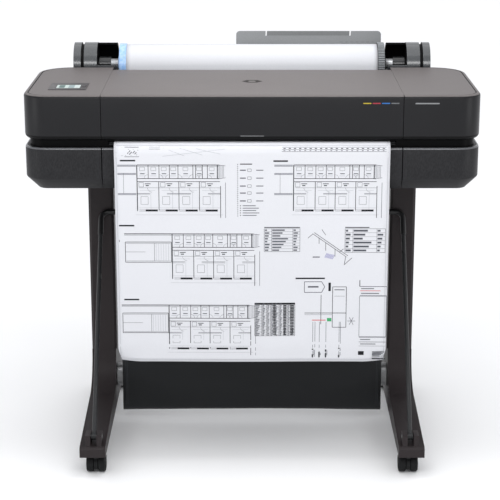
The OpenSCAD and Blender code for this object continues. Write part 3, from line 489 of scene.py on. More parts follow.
def outline(inset, z, steps=20):
    """The body's rounded outline at one height, set in by a distance."""
    ring = []
    for cx, cy, radius, start in (
            (half_width - front_corner, front_face + front_corner, front_corner, -90),
            (half_width - rear_corner, deck_back - rear_corner, rear_corner, 0),
            (-half_width + rear_corner, deck_back - rear_corner, rear_corner, 90),
            (-half_width + front_corner, front_face + front_corner, front_corner, 180)):
        for i in range(steps + 1):
            a = math.radians(start + 90 * i / steps)
            ring.append((cx + (radius - inset) * math.cos(a), cy + (radius - inset) * math.sin(a), z))
    return ring


def shell(name, section, spans, lidded=False, cut_back=None, ease_by=0.0007):
    """Runs a closed wall section, as (inset, height, finish) steps, round the outline, then cuts it between X
    spans. The cut edges part a little on the front, where the seam shows, and meet closely on the deck."""
    cage = bmesh.new()
    rings = [[cage.verts.new(p) for p in outline(inset, z)] for inset, z, _ in section]
    count = len(rings[0])
    last = len(rings) - 1 if lidded else len(rings)
    for k in range(last):
        one, two = rings[k], rings[(k + 1) % len(rings)]
        for i in range(count):
            j = (i + 1) % count
            face = cage.faces.new((one[i], two[i], two[j], one[j]))
            face.material_index = section[k][2]
    if lidded:
        cage.faces.new(rings[0]).material_index = section[0][2]
        cage.faces.new(rings[-1][::-1]).material_index = section[-1][2]
    bmesh.ops.recalc_face_normals(cage, faces=cage.faces)
    cuts = [((spans[0], 0, 0), (-1, 0, 0)), ((spans[1], 0, 0), (1, 0, 0))]
    if cut_back is not None:
        cuts.append(((0, cut_back, 0), (0, 1, 0)))
    for place, away in cuts:
        before = set(cage.faces)
        made = bmesh.ops.bisect_plane(cage, geom=cage.verts[:] + cage.edges[:] + cage.faces[:], plane_co=place,
                                      plane_no=away, clear_outer=True)
        rim = [e for e in made["geom_cut"] if isinstance(e, bmesh.types.BMEdge)]
        bmesh.ops.holes_fill(cage, edges=[e for e in rim if e.is_valid and e.is_boundary], sides=0)
        for face in cage.faces:
            if face not in before and face.normal.dot(Vector(away)) > 0.99:
                face.material_index = 1
    bmesh.ops.remove_doubles(cage, verts=cage.verts, dist=0.000005)
    for spot in cage.verts:
        for edge, inward in ((spans[0], 1), (spans[1], -1)):
            if abs(spot.co.x - edge) < 0.00001 and spot.co.y < front_face + 0.0089:
                spot.co.x += inward * 0.0006
    piece = piece_from(name, cage, 28)
    return ease_edges(piece, ease_by) if ease_by else piece


bevel_top = lower_base + 0.0300
lower_section = [
    (0.014, lower_top, 0), (0.0040, lower_top, 2), (0.0018, lower_top - 0.0006, 2), (0.0005, lower_top - 0.0020, 2),
    (0.0, lower_top - 0.0038, 0), (0.0, bevel_top, 0), (0.0006, lower_base + 0.0276, 1),
    (0.0022, lower_base + 0.0254, 1), (0.0272, lower_base + 0.0006, 1), (0.0290, lower_base, 1),
    (0.031, lower_base, 1), (0.031, lower_base + 0.003, 0), (0.004, bevel_top, 0), (0.003, lower_base + 0.032, 0),
    (0.003, lower_top - 0.003, 0), (0.014, lower_top - 0.003, 0)]
cover_grain = coating("cover_grain", "#1b1b1d", "#272729", 0.42, 0.06, grain=640, depth=0.00012,
                      stretch=(1, 1, 0.3), turn=(0, 0.8, 0))
bevel_grain = coating("bevel_grain", "#1c1c1e", "#252527", 0.46, 0.06, grain=900, depth=0.00006)
# Painted highlight: the rounded top edge of each lower cover is coloured a lighter glossy grey for the light it
# catches.
ledge_painted_highlight = coating("ledge_painted_highlight", "#46474a", "#55565a", 0.24, 0.05, grain=900, depth=0.00002, coat=0.5,
                      specular=0.5)
for node, left, right in (("lower_cover_left", -1, -seam_at - 0.0002),
                          ("lower_cover_centre", -seam_at + 0.0002, seam_at - 0.0002),
                          ("lower_cover_right", seam_at + 0.0002, 1)):
    keep_piece(shell("moulded_" + node, lower_section, (left, right)), node, cover_grain, bevel_grain, ledge_painted_highlight)

# Slot liner: a black moulded band set back between the two housings, with the paper's exit in front. It clips
# to the lower housing and hides the join.
# Partly painted shade: the liner is black plastic, coloured darker than any other black here for the shade in the
# recess.
liner_black_and_painted_shade = coating("liner_black_and_painted_shade", "#030303", "#060607", 0.4, 0.05, grain=300, depth=0.00001, specular=0.06)
keep_piece(eased_copy("slot_liner", "gloss_slot_liner", 0.0005), "slot_liner", liner_black_and_painted_shade)

# Upper housing: two side housings with the lid between them. The deck is a brown-grey textured plastic, coloured
# lighter taupe than its own tone as a painted reflection, with a thin groove just inside its rounded edge, and the
# upright faces are a smoother black, with a darker painted shade on their rounded lower lip.
upper_section = [
    (0.045, deck_top, 0), (0.0112, deck_top, 0), (0.0108, deck_top - 0.0016, 1), (0.0088, deck_top - 0.0016, 1),
    (0.0084, deck_top, 0), (0.0060, deck_top, 0), (0.0042, deck_top - 0.0003, 0), (0.0025, deck_top - 0.0011, 0),
    (0.0012, deck_top - 0.0023, 1), (0.0003, deck_top - 0.0042, 1), (0.0, deck_top - 0.0062, 1),
    (0.0, housing_base + 0.0092, 2), (0.0008, housing_base + 0.0060, 2), (0.0024, housing_base + 0.0032, 2),
    (0.0046, housing_base + 0.0011, 2), (0.0070, housing_base, 1), (0.014, housing_base, 1),
    (0.014, housing_base + 0.003, 1), (0.003, housing_base + 0.003, 1), (0.003, deck_top - 0.006, 1),
    (0.006, deck_top - 0.003, 1), (0.045, deck_top - 0.003, 1)]
# Partly painted reflection: the deck's base colour is lighter than the plastic's own brown-grey and stands in for the
# bright room it mirrors.
deck_plastic = coating("deck_plastic", "#666160", "#726d6c", 0.5, 0.05, grain=1300, depth=0.00007, patch=2.2)
face_plastic = coating("face_plastic", "#18181a", "#202022", 0.34, 0.05, grain=1300, depth=0.00004)
# Painted shade: the rounded lower lip of the upper housing and lid is coloured near black, darker than the faces above
# it.
lip_painted_shade = coating("lip_painted_shade", "#0b0b0c", "#101011", 0.4, 0.05, grain=1300, depth=0.00004, specular=0.1)
for node, left, right in (("side_housing_left", -1, -seam_at - 0.0002), ("side_housing_right", seam_at + 0.0002, 1)):
    keep_piece(shell("moulded_" + node, upper_section, (left, right), lidded=True, ease_by=0), node, deck_plastic,
               face_plastic, lip_painted_shade)

# Lid: the middle of the upper housing, moulded in the same two plastics as its neighbours. It turns on two
# pins along its back edge, through lugs moulded under it, and three ribs stiffen its underside.
lid_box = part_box("lid")
lid_shell = shell("moulded_lid", upper_section, (-seam_at + 0.0002, seam_at - 0.0002), lidded=True,
                  cut_back=lid_box[1][1], ease_by=0)
keep_piece(lid_shell, "lid", deck_plastic, face_plastic, lip_painted_shade)



def extra_piece(piece, body):
    """A piece with no CAD node of its own rides on a body."""
    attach(piece, body)
    return piece


def slab(name, near, far):
    """A closed solid between two outlines with the same number of points."""
    cage = bmesh.new()
    near, far = [[cage.verts.new(p) for p in ring] for ring in (near, far)]
    cage.faces.new(near)
    cage.faces.new(far[::-1])
    for i in range(len(near)):
        j = (i + 1) % len(near)
        cage.faces.new((near[i], near[j], far[j], far[i]))
    bmesh.ops.recalc_face_normals(cage, faces=cage.faces)
    return piece_from(name, cage, 30)


rib_pitch, rib_y, rib_z = 0.18, -0.039, deck_top - 0.0069
lid_ribs = set_in_a_row("lid_ribs", [(-rib_pitch, rib_y, rib_z), (rib_pitch + 0.0001, rib_y, rib_z)],
                        (0.002, 0.280, 0.0078), rib_pitch, face_plastic, False)
extra_piece(lid_ribs, "lid")
hinge_line = (0.122, 0.850)
lug_x, lug_half, lug_r, lug_up = 0.300, 0.004, 0.006, 0.0085
lug_outline = [(lug_r * math.cos(math.radians(-180 + 15 * k)), lug_r * math.sin(math.radians(-180 + 15 * k)))
               for k in range(13)] + [(lug_r, lug_up), (-lug_r, lug_up)]
wall_thick, wall_long, wall_y = 0.003, 0.117, front_face + 0.0615
for side, end in ((-1, "left"), (1, "right")):
    near, far = [[(side * lug_x + across, hinge_line[0] + a, hinge_line[1] + b) for a, b in lug_outline]
                 for across in (-lug_half, lug_half)]
    lid_lug = slab("lid_hinge_lug_" + end, near, far)
    lid_lug.data.materials.append(face_plastic)
    extra_piece(lid_lug, "lid")
    cage = bmesh.new()
    bmesh.ops.create_cube(cage, size=1.0)
    for spot in cage.verts:
        spot.co = (side * (seam_at + 0.0017) + spot.co.x * wall_thick, wall_y + spot.co.y * wall_long,
                   (housing_base + deck_top) / 2 + spot.co.z * (deck_top - housing_base - 2 * wall_thick))
    bmesh.ops.bevel(cage, geom=cage.edges[:], offset=0.0004, segments=2, affect="EDGES")
    inner_wall = piece_from("housing_inner_wall_" + end, cage, 40)
    inner_wall.data.materials.append(face_plastic)
    extra_piece(inner_wall, "chassis")

# Works frame: zinc-plated steel, folded and screwed together: two side plates, the beam that carries the
# hinge pins, the carriage's rail and rod, and the boxed power supply.
frame_steel = coating("frame_steel", "#9b9fa1", "#b0b4b6", 0.36, 0.07, grain=260, depth=0.00002, metal=0.9,
                      stretch=(0.3, 6, 6))
for node in ("lid_hinges", "frame_plates", "carriage_rail", "carriage_rod", "power_supply"):
    keep_piece(eased_copy(node, "steel_" + node, 0.0005), node, frame_steel)

# Lid marks: a plain six-sided badge set in the deck, four ink-coloured dashes and a blank light strip on the
# front. They are printed films, a fraction of a millimetre proud.
film_thick = 0.00012


def film(name, body, coat, outline_points, place, normal, thick=film_thick):
    """A thin printed film: an outline in a plane, given a small thickness outwards."""
    near = [Vector(place(a, b)) for a, b in outline_points]
    piece = slab(name, near, [spot + Vector(normal) * thick for spot in near])
    piece.data.materials.append(coat)
    return extra_piece(piece, body)


def pill(x0, x1, z0, z1, steps=6):
    """A strip with round ends, as points along and up."""
    r, ring = (z1 - z0) / 2, []
    for centre, start in ((x1 - r, -90), (x0 + r, 90)):
        for i in range(steps + 1):
            a = math.radians(start + 180 * i / steps)
            ring.append((centre + r * math.cos(a), (z0 + z1) / 2 + r * math.sin(a)))
    return ring


badge_ink = coating("badge_ink", "#2c2928", "#383433", 0.6, 0.05, grain=700, depth=0.00001, specular=0.08)
badge_y, badge_long, badge_deep = -0.025, 0.024, 0.019
badge_ring = [(badge_long * math.cos(math.radians(60 * k)), badge_deep * math.sin(math.radians(60 * k)))
              for k in range(6)]
film("lid_badge", "lid", badge_ink, badge_ring, lambda a, b: (a, badge_y + b, deck_top), (0, 0, 1))
badge_core = coating("badge_core", "#767270", "#827e7b", 0.5, 0.05, grain=700, depth=0.00001)
film("lid_badge_centre", "lid", badge_core, [(a * 0.42, b * 0.36) for a, b in badge_ring],
     lambda a, b: (a, badge_y + b, deck_top + film_thick), (0, 0, 1))
first_dash, dash_pitch, dash_long = 0.2435, 0.0205, 0.018
for k, (code, glow) in enumerate((("#9b8a2c", "#b09c34"), ("#8d2f3a", "#a53945"), ("#2c5e9c", "#356fb4"),
                                  ("#5d5f61", "#6c6e70"))):
    dash_ink = coating("dash_ink_" + "abcd"[k], code, glow, 0.35, 0.05, grain=600, depth=0.00001)
    left = first_dash + dash_pitch * k
    film("ink_dash_" + "abcd"[k], "lid", dash_ink, pill(left, left + dash_long, 0.8437, 0.8463),
         lambda a, b: (a, front_face, b), (0, -1, 0))
strip_ink = coating("strip_ink", "#77787a", "#88898b", 0.4, 0.05, grain=600, depth=0.00001)
for name, body, node, ends in (
        ("plain_name_strip", "chassis", "side_housing_right", (0.358, 0.411, 0.8432, 0.8462)),
        ("lid_lift_mark", "lid", "lid", (-0.026, 0.026, housing_base + 0.0096, housing_base + 0.0108))):
    film(name, body, strip_ink, pill(*ends), lambda a, b: (a, front_face, b), (0, -1, 0))

# Control panel: a dark glossy bezel let into the left of the deck, a small colour screen behind glass and a
# round power key beside it. The screen shows plain blocks.
bezel_gloss = coating("bezel_gloss", "#332f30", "#3c3839", 0.34, 0.05, grain=900, depth=0.00001, specular=0.15)
keep_piece(eased_copy("display_frame", "panel_bezel", 0.0006), "display_frame", bezel_gloss)
key_gloss = coating("key_gloss", "#262425", "#302e2f", 0.25, 0.05, grain=900, depth=0.00001)
keep_piece(eased_copy("power_button", "power_key", 0.0006, 3), "power_button", key_gloss)
glass_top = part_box("display_screen")[1][2]
screen_black = coating("screen_black", "#141c1a", "#1c2624", 0.25, 0.03, grain=500, depth=0.000004, specular=0.2)
keep_piece(eased_copy("display_screen", "screen_glass", 0.0003), "display_screen", screen_black)
block_edges = (-0.4400, -0.4345, -0.4215, -0.4130, -0.4000, -0.3870)
for k, (code, light, column, y0, y1) in enumerate((
        ("#a9b5b1", 0.22, 0, -0.1180, -0.0790), ("#2c5550", 0.05, 1, -0.1140, -0.0830),
        ("#a9b8b3", 0.24, 2, -0.1180, -0.0790), ("#7c8f92", 0.12, 3, -0.1150, -0.0820),
        ("#b0bab8", 0.3, 4, -0.1180, -0.0790), ("#8fa09a", 0.12, 1, -0.1180, -0.1140),
        ("#8fa09a", 0.12, 1, -0.0830, -0.0790), ("#8fa09a", 0.12, 3, -0.1180, -0.1150),
        ("#8fa09a", 0.12, 3, -0.0820, -0.0790))):
    lit = coating("screen_block_" + str(k), code, code, 0.3, 0.03, grain=400, depth=0.000004)
    set_sockets(lit.node_tree.nodes["Principled BSDF"], Emission_Color=tint(code), Emission_Strength=light)
    x0, x1 = block_edges[column:column + 2]
    film("screen_tile_" + str(k), "chassis", lit, [(x0, y0), (x1, y0), (x1, y1), (x0, y1)],
         lambda a, b: (a, b, glass_top), (0, 0, 1), 0.00008)

# Rear cover: a plain black box behind the body with vent slats across its back and the sockets at one end.
# The trough that cradles the roll sits on it, with a guide lip that leads the paper in.
rear_grain = coating("rear_grain", "#212224", "#2d2e30", 0.5, 0.06, grain=1000, depth=0.00008)
keep_piece(eased_copy("rear_cover", "moulded_rear_cover", 0.0012, 3), "rear_cover", rear_grain)
keep_piece(eased_copy("rear_trough", "moulded_roll_trough", 0.0006), "rear_trough", rear_grain)
vent_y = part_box("rear_cover")[1][1] + 0.0001
vent_left, vent_right, slat_tall = -0.20, 0.40, 0.024
for k, level in enumerate((0.725, 0.760)):
    slats = set_in_a_row("rear_vent_slats_" + str(k), [(vent_left, vent_y, level), (vent_right, vent_y, level)],
                         (0.0026, 0.0016, slat_tall), 0.0075, rear_grain, False)
    extra_piece(slats, "chassis")
socket_black = coating("socket_black", "#101112", "#191a1b", 0.38, 0.06, grain=900, depth=0.00004)
keep_piece(eased_copy("rear_ports", "rear_sockets", 0.0003), "rear_ports", socket_black)

# Roll supports: two glossy black moulded cups, one at each end, with a grooved outer cap. They stand on the
# rear cover and hold the spindle's ends; each is cut away in front where the spindle drops in.
support_gloss = coating("support_gloss", "#2b2e31", "#393d40", 0.22, 0.05, grain=700, depth=0.00002, coat=0.7,
                        specular=0.8)
cup_shadow = coating("cup_shadow", "#050506", "#0a0a0b", 0.5, 0.05, grain=700, depth=0.00002, specular=0.1)
hub_low, hub_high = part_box("spindle_hub_grey")
roll_axis = ((hub_low[1] + hub_high[1]) / 2, (hub_low[2] + hub_high[2]) / 2)
cup_r = 0.0488
for side in ("left", "right"):
    cup = eased_copy("roll_support_" + side, "gloss_roll_support_" + side, 0.0018, 3)
    cup_end = max(abs(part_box("roll_support_" + side)[k][0]) for k in (0, 1))
    for face in cup.data.polygons:
        deep = math.dist(face.center[1:], roll_axis) < cup_r and face.center.z > roll_axis[1] - 0.02
        face.material_index = 1 if deep and abs(face.center.x) < cup_end - 0.001 else 0
    keep_piece(cup, "roll_support_" + side, support_gloss, cup_shadow)

# Spindle: a steel rod with a collar at each end, a translucent blue hub on the left and a grey toothed hub
# on the right, both pushed into the card core.
spindle_grey = coating("spindle_grey", "#a9abad", "#c2c4c6", 0.3, 0.05, grain=300, depth=0.00002, metal=0.4)
collar_black = coating("collar_black", "#121314", "#1b1d1e", 0.24, 0.05, grain=500, depth=0.00002, coat=0.4,
                       specular=0.5)
shaft = eased_copy("spindle_rod", "spindle_shaft", 0.0006)
collar_x = 0.3435
for face in shaft.data.polygons:
    face.material_index = 1 if abs(face.center.x) > collar_x else 0
keep_piece(shaft, "spindle_rod", spindle_grey, collar_black)
blue_hub_plastic = coating("blue_hub_plastic", "#94bdee", "#b6d2f4", 0.22, 0.05, grain=120, depth=0.00001, coat=0.4)
keep_piece(eased_copy("spindle_hub_blue", "hub_blue_flange", 0.0012, 3), "spindle_hub_blue", blue_hub_plastic)
# Painted shade: the grey hub's body is coloured near black so that the grooves between its grey teeth read as shaded.
grey_hub_painted_shade = coating("grey_hub_painted_shade", "#1e2022", "#2a2c2e", 0.4, 0.05, grain=400, depth=0.00003)
keep_piece(eased_copy("spindle_hub_grey", "hub_grey_flange", 0.0008, 2), "spindle_hub_grey", grey_hub_painted_shade)
tooth_plastic = coating("tooth_plastic", "#8f9295", "#9ea2a5", 0.4, 0.05, grain=400, depth=0.00003)
tooth_r = (hub_high[2] - hub_low[2]) / 2 + 0.0002
tooth_x, tooth_count, ring_steps = 0.3136, 72, 240
tooth_ring = [(tooth_x, roll_axis[0] + tooth_r * math.cos(2 * math.pi * k / ring_steps),
               roll_axis[1] + tooth_r * math.sin(2 * math.pi * k / ring_steps)) for k in range(ring_steps)]
teeth = set_in_a_row("hub_teeth", tooth_ring, (0.0156, 0.0022, 0.0014), 2 * math.pi * tooth_r / tooth_count,
                     tooth_plastic, True, closed=True)
extra_piece(teeth, "spindle")

# Roll: white bond paper wound on a brown card core that is glued up from spiral strips. The ends of the
# roll show the edges of the turns.
core_card = coating("core_card", "#a07a4c", "#b58d5d", 0.8, 0.08, grain=500, depth=0.00012, stretch=(0.2, 3, 3))
keep_piece(eased_copy("roll_core", "card_core", 0.0003), "roll_core", core_card)
bond_paper = coating("bond_paper", "#f8f8f8", "#fdfdfd", 0.72, 0.05, grain=900, depth=0.00002, patch=3.0,
                     stretch=(0.25, 1, 1), specular=0.25)
paper_low, paper_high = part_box("paper_roll")
paper_r = (paper_high[2] - paper_low[2]) / 2
core_r = (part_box("roll_core")[1][2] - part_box("roll_core")[0][2]) / 2
ends = []
for k in range(19):
    r = core_r + 0.0001 + (paper_r - 0.0008 - core_r) * k / 18
    ends.append((0.0003 * (k % 2), r))
roll_section = ([(paper_low[0] + d, r) for d, r in ends] + [(paper_low[0] + 0.0007, paper_r)]
                + [(paper_high[0] - 0.0007, paper_r)] + [(paper_high[0] - d, r) for d, r in ends[::-1]])
keep_piece(turned("wound_paper", roll_section, (0, roll_axis[0], roll_axis[1]), sides=128), "paper_roll", bond_paper)

# Printed sheet: the free end of the roll, led under the lid, over the platen and out of the slot. It hangs
# in front of the stand, with its lower corners curling back.
def rounded_path(corners):
    """A smooth run through (Y, Z, easing) corners, all in millimetres, returned in metres."""
    run = [corners[0][:2]]
    for k in range(1, len(corners) - 1):
        (ay, az), (by, bz), (cy, cz), trim = corners[k - 1][:2], corners[k][:2], corners[k + 1][:2], corners[k][2]
        la, lc = math.dist((ay, az), (by, bz)), math.dist((by, bz), (cy, cz))
        one = (by + (ay - by) * trim / la, bz + (az - bz) * trim / la)
        two = (by + (cy - by) * trim / lc, bz + (cz - bz) * trim / lc)
        for i in range(9):
            t = i / 8
            run.append(tuple((1 - t) ** 2 * one[m] + 2 * t * (1 - t) * (by, bz)[m] + t * t * two[m] for m in (0, 1)))
    run.append(corners[-1][:2])
    out = []
    for (ay, az), (by, bz) in zip(run, run[1:]):
        parts = max(1, int(math.dist((ay, az), (by, bz)) / 8))
        out += [(ay + (by - ay) * i / parts, az + (bz - az) * i / parts) for i in range(parts)]
    out.append(run[-1])
    return [(y / 1000, z / 1000) for y, z in out]


wrap_r = paper_r * 1000 + 0.35
over_roll = [(roll_axis[0] - wrap_r / 1000 * math.sin(math.radians(5 * k)),
              roll_axis[1] + wrap_r / 1000 * math.cos(math.radians(5 * k))) for k in range(18)]
roll_front = roll_axis[0] * 1000 - wrap_r
platen_top, hang_y = 757.4, -218.4
web_path = over_roll + rounded_path([
    (roll_front, 862, 0), (roll_front, 826, 12), (78, 759, 4), (70, platen_top, 3), (-209, platen_top, 6),
    (-219.5, 750, 5), (-222, 737, 6), (hang_y, 697, 18), (hang_y, 286, 18), (-210.6, 246, 0)])
web_run = [0.0]
for one, two in zip(web_path, web_path[1:]):
    web_run.append(web_run[-1] + math.dist(one, two))
web_half = paper_high[0] - 0.0002


def sheet_bow(x, z):
    """How far the hanging sheet waves out of flat, fading out just below the slot."""
    hanging = max(0.0, min(1.0, (0.70 - z) / 0.3))
    return 0.0012 * math.sin(math.pi * (x + web_half) / (2 * web_half) * 3 + 0.6) * hanging


cage = bmesh.new()
grid = []
web_across = 48
for (y, z), run in zip(web_path, web_run):
    row = []
    for i in range(web_across + 1):
        x = -web_half + 2 * web_half * i / web_across
        low_end = max(0.0, 1 - (web_run[-1] - run) / 0.034)
        edge = max(0.0, 1 - (web_half - abs(x)) / 0.045)
        bow = sheet_bow(x, z) if y < -0.2 else 0.0
        row.append(cage.verts.new((x - math.copysign(0.0075, x) * (low_end * edge) ** 1.5,
                                   y + 0.009 * low_end * edge + bow, z + 0.0012 * low_end * edge)))
    grid.append(row)
for j in range(len(grid) - 1):
    for i in range(web_across):
        cage.faces.new((grid[j][i], grid[j + 1][i], grid[j + 1][i + 1], grid[j][i + 1]))
plotted_sheet = piece_from("plotted_sheet", cage, 80)
# Painted shade: the hanging sheet is the same paper as the roll but is coloured a greyer white for the shade on it.
sheet_paper_painted_shade = coating("sheet_paper_painted_shade", "#d1d2d6", "#d8d9dd", 0.66, 0.05, grain=1200, depth=0.00001, patch=2.0,
                      specular=0.3)
plotted_sheet.data.materials.append(sheet_paper_painted_shade)
thick = plotted_sheet.modifiers.new("paper_thickness", "SOLIDIFY")
thick.thickness = 0.0002
thick.offset = 0
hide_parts("printed_sheet")
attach(plotted_sheet, "chassis")

# Plot: thin ink lines on the hanging sheet, made up for this model: four room plans, tables of blank rows,
# a pipe run, a wall section and an empty title frame. Headings are plain bars.
front_run = [(y, z) for y, z in web_path if y < -0.2]
strokes = {"black": [], "grey": [], "pale": [], "red": [], "green": [], "violet": []}


def surface_y(x, z):
    """Where the face of the hanging sheet lies at a height, in metres."""
    for (ya, za), (yb, zb) in zip(front_run, front_run[1:]):
        if zb <= z <= za:
            t = (za - z) / max(za - zb, 1e-9)
            y = ya + (yb - ya) * t
            break
    else:
        y = front_run[-1][0]
    return y + sheet_bow(x, z) - 0.00022


def patch(ink, corners):
    strokes[ink].append([(x / 1000, surface_y(x / 1000, z / 1000), z / 1000) for x, z in corners])


def rule(ink, x0, z0, x1, z1, wide=0.8):
    """A straight pen line, in short lengths so that it lies on the curved sheet."""
    length = math.dist((x0, z0), (x1, z1))
    if length < 0.01:
        return
    wide *= 1.35
    nx, nz = -(z1 - z0) / length * wide / 2, (x1 - x0) / length * wide / 2
    parts = max(1, int(length / 14))
    for i in range(parts):
        a, b = i / parts, (i + 1) / parts
        xa, za, xb, zb = x0 + (x1 - x0) * a, z0 + (z1 - z0) * a, x0 + (x1 - x0) * b, z0 + (z1 - z0) * b
        patch(ink, [(xa + nx, za + nz), (xa - nx, za - nz), (xb - nx, zb - nz), (xb + nx, zb + nz)])


def frame_lines(ink, x0, z0, x1, z1, wide=0.8):
    for a, b, c, d in ((x0, z0, x1, z0), (x1, z0, x1, z1), (x1, z1, x0, z1), (x0, z1, x0, z0)):
        rule(ink, a, b, c, d, wide)


def door_swing(ink, x, z, r, start):
    spots = [(x + r * math.cos(math.radians(start + 15 * k)), z + r * math.sin(math.radians(start + 15 * k)))
             for k in range(7)]
    for (xa, za), (xb, zb) in zip(spots, spots[1:]):
        rule(ink, xa, za, xb, zb, 0.4)


def blank_table(x0, z0, x1, z1, columns, rows, ink="grey"):
    frame_lines(ink, x0, z0, x1, z1, 0.6)
    for c in columns:
        rule(ink, c, z0, c, z1, 0.5)
    pitch = (z0 - z1) / rows
    edges = [x0] + list(columns) + [x1]
    for r in range(rows):
        z = z0 - pitch * r
        if r:
            rule(ink, x0, z, x1, z, 0.4)
        for k, (a, b) in enumerate(zip(edges, edges[1:])):
            used = 0.35 + 0.5 * (((r * 7 + k * 5) % 9) / 9)
            rule("grey", a + 1.5, z - pitch / 2, a + 1.5 + (b - a - 3) * used, z - pitch / 2, pitch * 0.34)


def rules_at(x, z, ink, lines):
    """Pen lines given as (along, down, along, down, width) from one corner."""
    for x0, down0, x1, down1, wide in lines:
        rule(ink, x + x0, z - down0, x + x1, z - down1, wide)


def room_plan(x, z, annex):
    """One storey of a made-up building: rooms above and below a corridor, with dark wall piers below."""
    wing = 0 if annex == "stubs" else -107
    rules_at(x, z, "black", ((wing, 0, 182, 0, 1.3), (0, 0, 0, 105, 1.4), (178, 0, 178, 32, 1.3),
                             (185, 48, 185, 121, 1.0), (0, 31, 182, 31, 1.0), (0, 38, 184, 38, 0.9)))
    rules_at(x, z, "grey", ((wing, 3, 182, 3, 0.6), (196, 40, 196, 121, 0.7), (4, 52, 184, 52, 0.5)))
    for k, at in enumerate((25, 49, 72, 91, 124, 130, 145, 156)):
        rule("black", x + at, z, x + at, z - 31, 0.9)
        door_swing("grey", x + at, z - 31, 9, 0 if k % 2 else 90)
    for at in (12, 37, 60, 81, 108, 138, 166):
        frame_lines("grey", x + at - 6, z - 5, x + at + 5, z - 13, 0.45)
        rule("grey", x + at - 5, z - 20, x + at + 5, z - 20, 1.4)
        rule("pale", x + at - 7, z - 25, x + at + 6, z - 25, 0.8)
    for at in (48, 92.5, 138):
        rule("black", x + at, z - 38, x + at, z - 104, 1.0)
    for at in (0, 48, 92.5, 138):
        frame_lines("grey", x + at + 4, z - 40, x + at + 14, z - 50, 0.5)
        rules_at(x + at, z, "black", ((17, 43, 30, 43, 1.2), (19, 47, 26, 47, 1.6)))
        door_swing("grey", x + at + 33, z - 52, 10, 180)
        frame_lines("grey", x + at + 8, z - 72, x + at + 24, z - 90, 0.45)
        rules_at(x + at, z, "pale", ((6, 58, 40, 58, 0.5), (30, 60, 30, 100, 0.5)))
    for a, b in ((0, 28), (66, 119), (157, 185)):
        rules_at(x, z, "grey", ((a, 65, b, 65, 0.8), (a, 67.5, b, 67.5, 0.4)))
    for a in (18, 62.5, 107, 151.5):
        rule("black", x + a, z - 104, x + a + 27, z - 104, 3.4)
        rules_at(x + a, z, "grey", ((-14, 102.6, 0, 102.6, 0.5), (-14, 105.4, 0, 105.4, 0.5)))
    rules_at(x, z, "pale", ((2, 98, 184, 98, 0.5), (-4, 114, 190, 114, 0.5)))
    for a in range(5):
        rule("grey", x + 180 + a * 3, z - 1, x + 180 + a * 3, z - 31 + a * 0.6, 0.5)
    rules_at(x, z, "grey", ((180, 0, 196, 2, 0.7), (180, 32, 196, 29, 0.7)))
    if annex == "stubs":
        for down in (0, 19, 65):
            rules_at(x, z - down, "grey", ((-43, 0, -2, 0, 0.7), (-43, 3, -2, 3, 0.7)))
            patch("pale", [(x - 43, z - down - 0.4), (x - 43, z - down - 2.6), (x - 2, z - down - 2.6),
                           (x - 2, z - down - 0.4)])
        rule("grey", x - 30, z - 19, x - 30, z - 65, 0.5)
    else:
        frame_lines("black", x - 105, z - 19, x - 2, z - 66, 0.9)
        rules_at(x, z, "grey", ((-103, 22, -4, 22, 0.5), (-103, 63, -4, 63, 0.5), (-105, 42, -60, 42, 0.5),
                                (-40, 22, -40, 63, 0.6)))
        rule("black", x - 118, z - 14, x - 118, z - 19, 0.8)
        for a in range(6):
            rule("pale", x - 36 + a * 5.5, z - 23, x - 36 + a * 5.5, z - 62, 0.5)


room_plan(-255, 709, "stubs")
room_plan(92, 709, "stubs")
room_plan(-179, 551, "room")
room_plan(-188, 384, "room")
for x0, x1, z in ((-292, -258, 719), (47, 79, 718), (-297, -263, 570), (-289, -255, 397), (98, 164, 447)):
    rule("black", x0, z, x1, z, 2.6)
rule("black", -287, 749, -287, 730, 3.0)
frame_lines("grey", -281, 749, -250, 728, 0.8)
for k in range(7):
    rule("black", -279 + k * 4, 730 + (k * 5) % 7, -272 + k * 3.4, 745 - (k * 3) % 8, 1.2)
rule("black", -227, 747, -203, 747, 3.4)
for k in range(3):
    rule("pale", -196 + k * 36, 748 - k, -150 + k * 40, 730 + k * 2, 0.6)
rule("pale", -198, 729, -60, 745, 0.5)
for z in (749, 744, 739.5):
    rule("grey", 66, z, 296, z, 0.6)
for k in range(20):
    rule("grey", 66 + k * 11.5, 749, 66 + k * 11.5, 739.5, 0.5)
    rule("black", 69 + k * 11.5, 746.5, 74 + k * 11.5, 746.5, 1.2)
    rule("grey", 69 + k * 11.5, 741.7, 73 + k * 11.5, 741.7, 1.0)
for k in range(26):
    rule("grey", -32, 711 - k * 4.7, -32, 709 - k * 4.7, 1.3)
rule("black", -27, 711, 0, 711, 1.6)
for k, z in enumerate((697, 679, 661, 645, 627)):
    rule("grey", -27, z, -14, z, 1.8)
    frame_lines("grey", -10, z + 3, -2, z - 3, 0.6)
    rule("grey", 9, z, 25, z, 1.4)
for k in range(5):
    patch("black", [(-27, 617 - k * 5.5), (-27, 615 - k * 5.5), (-25, 615 - k * 5.5), (-25, 617 - k * 5.5)])
    rule("grey", -21, 616 - k * 5.5, 8 + (k * 7) % 13, 616 - k * 5.5, 1.2)
blank_table(27, 563, 107, 510, (43.5, 91), 8)
rule("black", 27, 566, 107, 566, 1.4)
blank_table(208, 563, 298, 508, (225.5, 279), 6)
rule("black", 208, 566, 262, 566, 1.4)
for a, b, c, d in ((136, 551, 212, 497), (139, 554, 215, 500), (125, 541, 136, 551), (156, 561, 165, 548),
                   (165, 530, 165, 512), (186, 516, 186, 498), (207, 479, 224, 495), (210, 497, 207, 479),
                   (150, 541, 150, 528), (196, 509, 205, 516)):
    rule("black", a, b, c, d, 0.8)
for k in range(8):
    rule("violet", 168 + k * 2.4, 506 - k * 0.6, 163 + k * 2.4, 496 - k * 0.6, 0.8)
rule("grey", 136, 497, 152, 497, 1.8)
